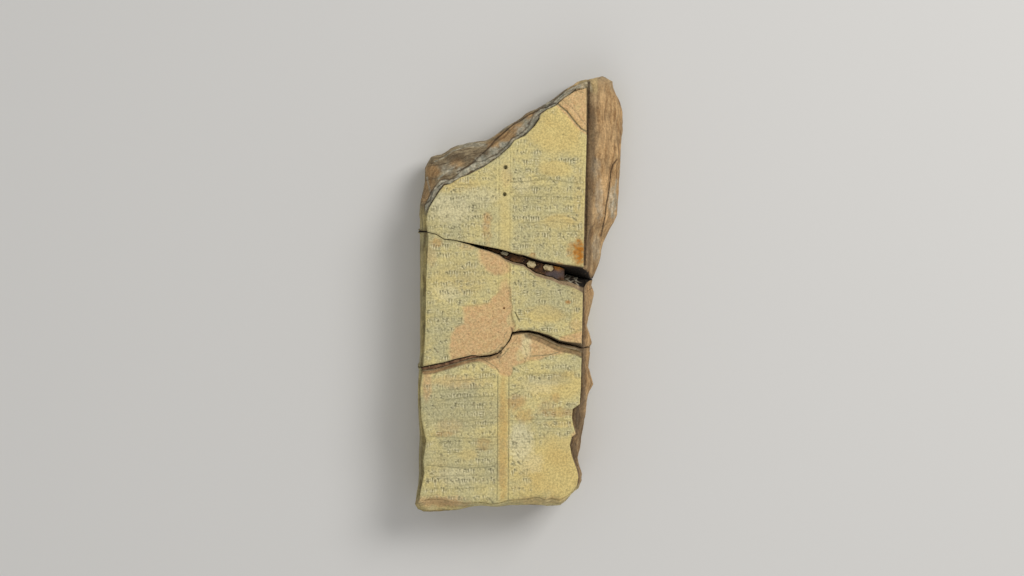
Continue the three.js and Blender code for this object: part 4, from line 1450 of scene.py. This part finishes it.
class Finish:
    """What the finishes share: a new material with its shader and its place on the piece."""

    GRAIN_HEIGHT = 0.0005
    SHEEN = 0.3
    DARK_GRAIN = 0.76
    LIGHT_GRAIN = 1.17

    def __init__(self, name: str, effects: Effects) -> None:
        """Starts the material.

        Args:
            name: the material's name.
            effects: the shared shader groups.
        """
        self.effects = effects
        self.material = bpy.data.materials.new(name)
        self.material.use_nodes = True
        self.graph = Graph(self.material.node_tree)
        self.shader = self.material.node_tree.nodes["Principled BSDF"]
        self.place = self.graph.add("ShaderNodeTexCoord").outputs["Object"]

    def effect(self, group: bpy.types.NodeTree, **inputs: object) -> bpy.types.Node:
        """Puts a shared group in the material.

        Args:
            group: the group.
            **inputs: what feeds its inputs, by name.

        Returns:
            The group's node.
        """
        node = self.graph.add("ShaderNodeGroup", node_tree=group)
        for name, source in inputs.items():
            self.graph.feed(node.inputs[name], source)
        return node

    def mask(self, name: str) -> bpy.types.NodeSocket:
        """Returns one of the surface's masks."""
        return self.graph.add("ShaderNodeAttribute", attribute_name=name).outputs["Fac"]

    def mottled(
        self, fineness: float, light: Rgba, dark: Rgba, balance: float,
        stretch: tuple[float, float, float] = (1.0, 1.0, 1.0),
    ) -> bpy.types.NodeSocket:
        """Mixes two tones cloudily.

        Args:
            fineness: how fine the clouds are.
            light: the tone of their high parts.
            dark: the tone of their low parts.
            balance: the height where the two meet.
            stretch: the fineness along each axis, as a factor.

        Returns:
            The mixed colour.
        """
        node = self.graph.add("ShaderNodeMapping")
        self.graph.feed(node.inputs["Vector"], self.place)
        node.inputs["Scale"].default_value = stretch
        tones = {"Light": light, "Dark": dark, "Balance": balance}
        place = node.outputs["Vector"]
        mixed = self.effect(self.effects.mottle, Place=place, Fineness=fineness, **tones)
        return mixed.outputs["Color"]

    def specks(self, fineness: float, share: float) -> bpy.types.NodeSocket:
        """Returns scattered specks."""
        specks = self.effect(self.effects.specks, Place=self.place, Fineness=fineness, Share=share)
        return specks.outputs["Mask"]

    def laid(
        self, mask: bpy.types.NodeSocket, strength: float, below: object, above: object
    ) -> bpy.types.NodeSocket:
        """Returns a colour laid over another where a mask says so."""
        return self.graph.mix(self.graph.math("MULTIPLY", mask, strength), below, above)

    def finish(
        self, colour: bpy.types.NodeSocket, fineness: float, strength: float
    ) -> bpy.types.NodeSocket:
        """Adds grain to a colour and joins it to the shader.

        Args:
            colour: the colour.
            fineness: how fine the grain is.
            strength: how strongly its relief shows.

        Returns:
            The grain's tone, for the roughness.
        """
        graph = self.graph
        grain = self.effect(self.effects.grain, Place=self.place, Fineness=fineness)
        tone = graph.ramp(grain.outputs["Tone"], 0.0, 1.0, self.DARK_GRAIN, self.LIGHT_GRAIN)
        shade = graph.add("ShaderNodeCombineColor")
        for channel in range(3):
            graph.feed(shade.inputs[channel], tone)
        shaded = graph.mix(1.0, colour, shade.outputs[0], "MULTIPLY")
        graph.feed(self.shader.inputs["Base Color"], shaded)
        bump = graph.add("ShaderNodeBump")
        bump.inputs["Strength"].default_value = strength
        bump.inputs["Distance"].default_value = self.GRAIN_HEIGHT
        graph.feed(bump.inputs["Height"], grain.outputs["Height"])
        graph.feed(self.shader.inputs["Normal"], bump.outputs["Normal"])
        self.shader.inputs["Specular IOR Level"].default_value = self.SHEEN
        return grain.outputs["Tone"]


class ClayFinish(Finish):
    """Buff clay with grimy writing, pinkish core, layered breaks and stains, with painted shade and
    highlights.
    """

    GREEN_BUFF = linear(202, 191, 140)
    WARM_BUFF = linear(216, 199, 136)
    YELLOW = linear(218, 196, 128)
    OCHRE = linear(211, 184, 116)
    # Tones of the grime and painted shade in the marks
    GRIME_AND_SHADE = linear(106, 102, 74)
    GRIME_AND_SHADE_LIGHT = linear(144, 139, 106)
    # Pale tone for the painted highlights and the rubbed places
    HIGHLIGHT_AND_RUBBED = linear(234, 223, 182)
    SLATE = linear(166, 163, 132)
    CORE_LIGHT = linear(216, 178, 128)
    CORE_DARK = linear(200, 160, 110)
    SPECK = linear(120, 98, 70)
    BREAK_LIGHT = linear(176, 158, 124)
    BREAK_DARK = linear(112, 95, 70)
    TAN_LIGHT = linear(206, 168, 118)
    TAN_DARK = linear(158, 120, 76)
    # Tones of the pale spots, and of the painted highlight along the upper rim
    PALE_LIGHT = linear(210, 202, 178)
    PALE_DARK = linear(150, 151, 135)
    RUST = linear(178, 114, 36)
    # Tones of the painted shade, and of some soot
    SHADE_AND_SOOT_BROWN = linear(76, 58, 40)
    SHADE_AND_SOOT_BLACK = linear(34, 29, 24)
    # Near black for painted shadow deep in the cracks
    SHADOW_BLACK = linear(14, 12, 10)

    def __init__(self, effects: Effects) -> None:
        """Mixes the clay's colours by its masks.

        Args:
            effects: the shared shader groups.
        """
        super().__init__("tablet clay", effects)
        mask = {each: self.mask(each.value) for each in Mask}
        colour = self._face(mask)
        colour = self.graph.mix(mask[Mask.BROKEN], colour, self._break(mask))
        # Pale spots and scrapes, and the painted highlight along the upper rim
        pale = self.mottled(520.0, self.PALE_LIGHT, self.PALE_DARK, 0.5)
        colour = self.laid(mask[Mask.PALE], 0.9, colour, pale)
        rust = self.graph.ramp(self.graph.noise(self.place, 500.0), 0.3, 0.6, 0.45, 1.0)
        rust = self.graph.math("MULTIPLY", mask[Mask.RUST], rust)
        colour = self.graph.mix(rust, colour, self.RUST)
        # Painted shade, with some soot
        shade_and_soot = self.mottled(340.0, self.SHADE_AND_SOOT_BROWN, self.SHADE_AND_SOOT_BLACK, 0.42)
        colour = self.laid(mask[Mask.SHADE_AND_SOOT], 0.92, colour, shade_and_soot)
        # Near-black painted shadow where the painted shade is densest, mostly deep in the cracks
        shadow_black = self.graph.ramp(mask[Mask.SHADE_AND_SOOT], 0.93, 1.0)
        colour = self.laid(shadow_black, 0.85, colour, self.SHADOW_BLACK)
        colour = self.laid(self.specks(620.0, 0.06), 0.38, colour, self.SPECK)
        self.finish(colour, 1000.0, 0.5)
        roughness = self.graph.ramp(mask[Mask.YELLOW], 0.0, 1.0, 0.9, 0.76)
        self.graph.feed(self.shader.inputs["Roughness"], roughness)

    def _face(self, mask: dict[Mask, bpy.types.NodeSocket]) -> bpy.types.NodeSocket:
        """Mixes the colour of the written face.

        Args:
            mask: the masks' sockets.

        Returns:
            The colour.
        """
        graph = self.graph
        colour = self.mottled(90.0, self.WARM_BUFF, self.GREEN_BUFF, 0.5)
        yellow = self.mottled(45.0, self.YELLOW, self.OCHRE, 0.46)
        colour = graph.mix(mask[Mask.YELLOW], colour, yellow)
        colour = self.laid(mask[Mask.SLATE], 0.75, colour, self.SLATE)
        core = self.mottled(900.0, self.CORE_LIGHT, self.CORE_DARK, 0.44)
        core = self.laid(self.specks(1000.0, 0.1), 0.6, core, self.SPECK)
        colour = graph.mix(mask[Mask.CORE], colour, core)
        # Painted highlights on ridges, and rubbed places
        colour = self.laid(mask[Mask.HIGHLIGHT_AND_RUBBED], 0.9, colour, self.HIGHLIGHT_AND_RUBBED)
        # Grime and painted shade in the marks and hollows
        grime_and_shade = self.mottled(600.0, self.GRIME_AND_SHADE_LIGHT, self.GRIME_AND_SHADE, 0.52)
        return self.laid(mask[Mask.GRIME_AND_SHADE], 0.92, colour, grime_and_shade)

    def _break(self, mask: dict[Mask, bpy.types.NodeSocket]) -> bpy.types.NodeSocket:
        """Mixes the colour of the breaks.

        Args:
            mask: the masks' sockets.

        Returns:
            The colour.
        """
        broken = self.mottled(260.0, self.BREAK_LIGHT, self.BREAK_DARK, 0.5, (0.4, 0.4, 2.4))
        tan = self.mottled(300.0, self.TAN_LIGHT, self.TAN_DARK, 0.46, (0.35, 0.35, 2.0))
        colour = self.graph.mix(mask[Mask.TAN], broken, tan)
        return self.laid(mask[Mask.LAYER], 0.45, colour, self.BREAK_DARK)


@dataclass(frozen=True)
class PlainTones:
    """The tones of a small piece's finish."""

    light: Rgba
    dark: Rgba
    speck: Rgba
    fineness: float
    roughness: float
    relief: float


FILL_TONES = PlainTones(
    linear(98, 66, 38), linear(44, 28, 16), linear(140, 108, 70), 380.0, 0.8, 0.6
)
BAND_TONES = PlainTones(
    linear(138, 104, 74), linear(84, 58, 38), linear(166, 136, 98), 320.0, 0.86, 0.6
)
CRUMB_TONES = PlainTones(
    linear(212, 196, 152), linear(178, 158, 116), linear(122, 100, 70), 300.0, 0.92, 0.5
)
CHIP_TONES = PlainTones(
    linear(172, 164, 136), linear(136, 126, 102), linear(100, 88, 66), 300.0, 0.92, 0.5
)


class PlainFinish(Finish):
    """A cloudy two-tone finish with specks, for the fills and the crumbs."""

    RUST = linear(170, 112, 44)
    # Grey for the painted shade on the upper fill
    SLATE = linear(88, 79, 80)

    def __init__(self, name: str, effects: Effects, tones: PlainTones) -> None:
        """Mixes the tones.

        Args:
            name: the material's name.
            effects: the shared shader groups.
            tones: the tones to mix.
        """
        super().__init__(name, effects)
        colour = self.mottled(tones.fineness, tones.light, tones.dark, 0.5)
        colour = self.graph.mix(self.specks(1100.0, 0.2), colour, tones.speck)
        colour = self.laid(self.mask(Mask.RUST.value), 1.0, colour, self.RUST)
        # Grey painted shade where the slate mask is set
        colour = self.laid(self.mask(Mask.SLATE.value), 1.0, colour, self.SLATE)
        tone = self.finish(colour, 1300.0, tones.relief)
        roughness = self.graph.ramp(tone, 0.0, 1.0, tones.roughness - 0.1, tones.roughness)
        self.graph.feed(self.shader.inputs["Roughness"], roughness)


def points_of(piece: bpy.types.Object) -> tuple[np.ndarray, np.ndarray]:
    """Reads a piece's mesh.

    Args:
        piece: the piece's object.

    Returns:
        Its points in the outline's millimetres, and their normals.
    """
    count = len(piece.data.vertices)
    points, normals = np.empty(count * 3), np.empty(count * 3, np.float32)
    piece.data.vertices.foreach_get("co", points)
    piece.data.vertex_normals.foreach_get("vector", normals)
    points = points.reshape(-1, 3) / MILLIMETRE
    points[:, :2] += PLAN_SHIFT
    return points, normals.reshape(-1, 3).astype(float)


def move_to(piece: bpy.types.Object, points: np.ndarray) -> None:
    """Moves a piece's points within the box of its solid.

    Args:
        piece: the piece's object, named after its solid.
        points: the new places in the outline's millimetres.
    """
    low, high = (np.array(corner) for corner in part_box(piece["solid"]))
    moved = points.copy()
    moved[:, :2] -= PLAN_SHIFT
    moved = np.clip(moved * MILLIMETRE, low, high)
    piece.data.vertices.foreach_set("co", moved.ravel())
    piece.data.update()


def set_masks(piece: bpy.types.Object, masks: Grids) -> None:
    """Stores masks on a piece's points.

    Args:
        piece: the piece's object.
        masks: a value for each point, by the mask's name.
    """
    for name, values in masks.items():
        attribute = piece.data.attributes.new(name, "FLOAT", "POINT")
        attribute.data.foreach_set("value", np.clip(values, 0.0, 1.0).astype(np.float32))


def settled(source: bpy.types.Object, name: str) -> bpy.types.Object:
    """Replaces an object by one whose modifiers are part of its mesh.

    Args:
        source: the object with live modifiers, which is removed.
        name: the new object's name.

    Returns:
        The new object.
    """
    bpy.context.view_layer.update()
    evaluated = source.evaluated_get(bpy.context.evaluated_depsgraph_get())
    mesh = bpy.data.meshes.new_from_object(evaluated)
    old = source.data
    bpy.data.objects.remove(source)
    bpy.data.meshes.remove(old)
    mesh.name = name
    piece = bpy.data.objects.new(name, mesh)
    bpy.context.scene.collection.objects.link(piece)
    return piece


def fine_copy(node: str, voxel: float) -> bpy.types.Object:
    """Copies a solid and gives it an even, fine mesh.

    Args:
        node: the solid's name.
        voxel: the size of the mesh, in millimetres.

    Returns:
        The copy.
    """
    model = bmesh.new()
    model.from_mesh(bpy.data.objects[node].data)
    bmesh.ops.remove_doubles(model, verts=model.verts, dist=WELD)
    mesh = bpy.data.meshes.new(f"{node}_start")
    model.to_mesh(mesh)
    model.free()
    start = bpy.data.objects.new(f"{node}_start", mesh)
    bpy.context.scene.collection.objects.link(start)
    even = start.modifiers.new("even mesh", "REMESH")
    even.mode = "VOXEL"
    even.voxel_size = voxel * MILLIMETRE
    even.use_smooth_shade = True
    piece = settled(start, f"worn_{node}")
    piece.data.materials.clear()
    piece["solid"] = node
    return piece


@dataclass
class ClayPiece:
    """A fragment of the tablet with its worn surface."""

    node: str
    voxel: float
    limit: int
    weathering: Weathering
    quick_factor: float = 2.2
    flat_height: float = 0.12

    def build(self, finish: Finish) -> bpy.types.Object:
        """Makes the piece around its solid.

        Args:
            finish: the clay's finish.

        Returns:
            The finished object.
        """
        piece = fine_copy(self.node, self.voxel * (1.0))
        points, normals = points_of(piece)
        surface = Surface(points, normals, self.weathering)
        moved = surface.worn()
        moved[points[:, 2] < self.flat_height, 2] = 0.0
        move_to(piece, moved)
        visible = smooth(0.02, 0.2, normals[:, 2]) * (1.0 - surface.crack_wall())
        piece = self._thinned(piece, np.maximum(surface.face, 0.8 * visible))
        masks = Surface(*points_of(piece), self.weathering).masks()
        set_masks(piece, {mask.value: values for mask, values in masks.items()})
        piece.data.materials.append(finish.material)
        return piece

    def _thinned(self, piece: bpy.types.Object, keep: np.ndarray) -> bpy.types.Object:
        """Merges triangles away from the face until the piece is under its limit.

        Args:
            piece: the piece's object.
            keep: 1 for each point that stays.

        Returns:
            The thinned object.
        """
        count = sum(len(face.vertices) - 2 for face in piece.data.polygons)
        kept = 100 * keep.mean()
        LOG.info("%s has %d triangles, %.0f %% of its points stay", piece.name, count, kept)
        if count <= self.limit:
            return piece
        group = piece.vertex_groups.new(name="may merge")
        merge = 1.0 - keep
        for share in (0.25, 0.5, 0.75, 1.0):
            chosen = np.flatnonzero((merge > share - 0.25) & (merge <= share))
            group.add(chosen.tolist(), share, "REPLACE")
        group.add(np.flatnonzero(merge <= 0.0).tolist(), 0.02, "REPLACE")
        fewer = piece.modifiers.new("fewer triangles", "DECIMATE")
        fewer.vertex_group = group.name
        fewer.ratio = self.limit / count
        thinned = settled(piece, piece.name)
        thinned["solid"] = self.node
        thinned.data.shade_smooth()
        return thinned


@dataclass
class SmallPiece:
    """A fill or a crumb, with an uneven surface."""

    node: str
    voxel: float
    roughness: float
    weathering: Weathering
    spots: tuple[tuple[Mask, tuple[Stain, ...]], ...] = ()

    def build(self, finish: Finish) -> bpy.types.Object:
        """Makes the piece around its solid.

        Args:
            finish: the piece's finish.

        Returns:
            The finished object.
        """
        piece = fine_copy(self.node, self.voxel)
        points, normals = points_of(piece)
        lumps = 1.0 + self.weathering.noise.layered(points, 2.4, 3)
        move_to(piece, points - normals * (self.roughness * lumps)[:, None])
        chart = self.weathering.chart
        fine = self.weathering.fine
        grids = {mask.value: chart.patches(places, fine) for mask, places in self.spots}
        set_masks(piece, chart.read(grids, points[:, :2]))
        piece.data.materials.append(finish.material)
        return piece


@dataclass
class Tablet:
    """The three clay fragments, the fills between them and the crumbs in the upper fill."""

    effects: Effects
    fragments: tuple[tuple[str, float], ...] = (
        ("upper_fragment", 0.32), ("middle_fragment", 0.3), ("lower_fragment", 0.33),
    )
    limit: int = 195_000

    def build(self) -> None:
        """Makes and names every piece of the tablet."""
        weathering = Weathering()
        clay = ClayFinish(self.effects)
        for node, voxel in self.fragments:
            self._settle(ClayPiece(node, voxel, self.limit, weathering).build(clay), "clay")
        fill = PlainFinish("joint fill", self.effects, FILL_TONES)
        band = PlainFinish("joint fill band", self.effects, BAND_TONES)
        spots = ((Mask.RUST, FILL_RUST), (Mask.SLATE, FILL_SHADE))
        upper_fill = SmallPiece("upper_joint_fill", 0.22, 0.2, weathering, spots)
        lower_fill = SmallPiece("lower_joint_fill", 0.18, 0.08, weathering)
        self._settle(upper_fill.build(fill), "fill")
        self._settle(lower_fill.build(band), "fill")
        chip = PlainFinish("grey chip clay", self.effects, CHIP_TONES)
        crumb = PlainFinish("crumb clay", self.effects, CRUMB_TONES)
        for number, finish in enumerate((chip, crumb, crumb), 1):
            small = SmallPiece(f"clay_crumb_{number}", 0.12, 0.05, weathering)
            self._settle(small.build(finish), "crumb")

    @staticmethod
    def _settle(piece: bpy.types.Object, slot: str) -> None:
        """Hangs a piece under the root and hides the solid that it replaces.

        Args:
            piece: the piece's object.
            slot: not used.
        """
        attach(piece, "root")
        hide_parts(piece["solid"])
        LOG.info("%s: %d faces", piece.name, len(piece.data.polygons))


@dataclass
class Studio:
    """The pale floor, the soft lights and the camera that looks straight down."""

    floor_size: float = 6.0
    frame_width: float = 0.512
    lens: float = 100.0
    sensor: float = 36.0
    aim: tuple[float, float] = (-0.0031, 0.0036)
    room_light: float = 0.42

    def build(self) -> None:
        """Sets the whole studio up."""
        self._floor()
        self._world()
        self._light("key light", (0.95, 0.7, 1.2), 0.8, 16.0)
        self._light("fill light", (-0.2, -1.2, 1.3), 1.4, 4.5)
        self._camera()
        bpy.context.scene.view_settings.view_transform = "Standard"

    def _floor(self) -> None:
        """Lays the floor."""
        model = bmesh.new()
        bmesh.ops.create_grid(model, x_segments=1, y_segments=1, size=self.floor_size / 2)
        mesh = bpy.data.meshes.new("floor")
        model.to_mesh(mesh)
        model.free()
        floor = bpy.data.objects.new("floor", mesh)
        bpy.context.scene.collection.objects.link(floor)
        material = bpy.data.materials.new("pale floor")
        material.use_nodes = True
        shader = material.node_tree.nodes["Principled BSDF"]
        shader.inputs["Base Color"].default_value = linear(*FLOOR_TONE)
        shader.inputs["Roughness"].default_value = 0.9
        mesh.materials.append(material)

    def _world(self) -> None:
        """Lights the room evenly."""
        world = bpy.data.worlds.new("soft room")
        bpy.context.scene.world = world
        world.use_nodes = True
        background = world.node_tree.nodes["Background"]
        background.inputs["Color"].default_value = (1.0, 1.0, 1.0, 1.0)
        background.inputs["Strength"].default_value = self.room_light

    @staticmethod
    def _light(name: str, place: tuple[float, float, float], size: float, power: float) -> None:
        """Hangs one soft light that faces the tablet.

        Args:
            name: the light's name.
            place: its middle, in metres.
            size: its side, in metres.
            power: in watts.
        """
        data = bpy.data.lights.new(name, "AREA")
        data.shape = "SQUARE"
        data.size = size
        data.energy = power
        light = bpy.data.objects.new(name, data)
        bpy.context.scene.collection.objects.link(light)
        x, y, z = place
        light.location = place
        light.rotation_euler = (math.atan2(math.hypot(x, y), z), 0.0, math.atan2(x, -y))

    def _camera(self) -> None:
        """Points the camera straight down at the face."""
        data = bpy.data.cameras.new("camera")
        data.lens = self.lens
        data.sensor_width = self.sensor
        data.clip_end = 20.0
        camera = bpy.data.objects.new("camera", data)
        bpy.context.scene.collection.objects.link(camera)
        height = self.lens / self.sensor * self.frame_width + THICKNESS * MILLIMETRE
        camera.location = (*self.aim, height)
        bpy.context.scene.camera = camera


def main() -> None:
    """Builds the tablet and its studio around the frame."""
    logging.basicConfig(level=logging.INFO, format="%(name)s: %(message)s")
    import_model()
    Tablet(Effects()).build()
    Studio().build()


if __name__ == "__main__":
    main()
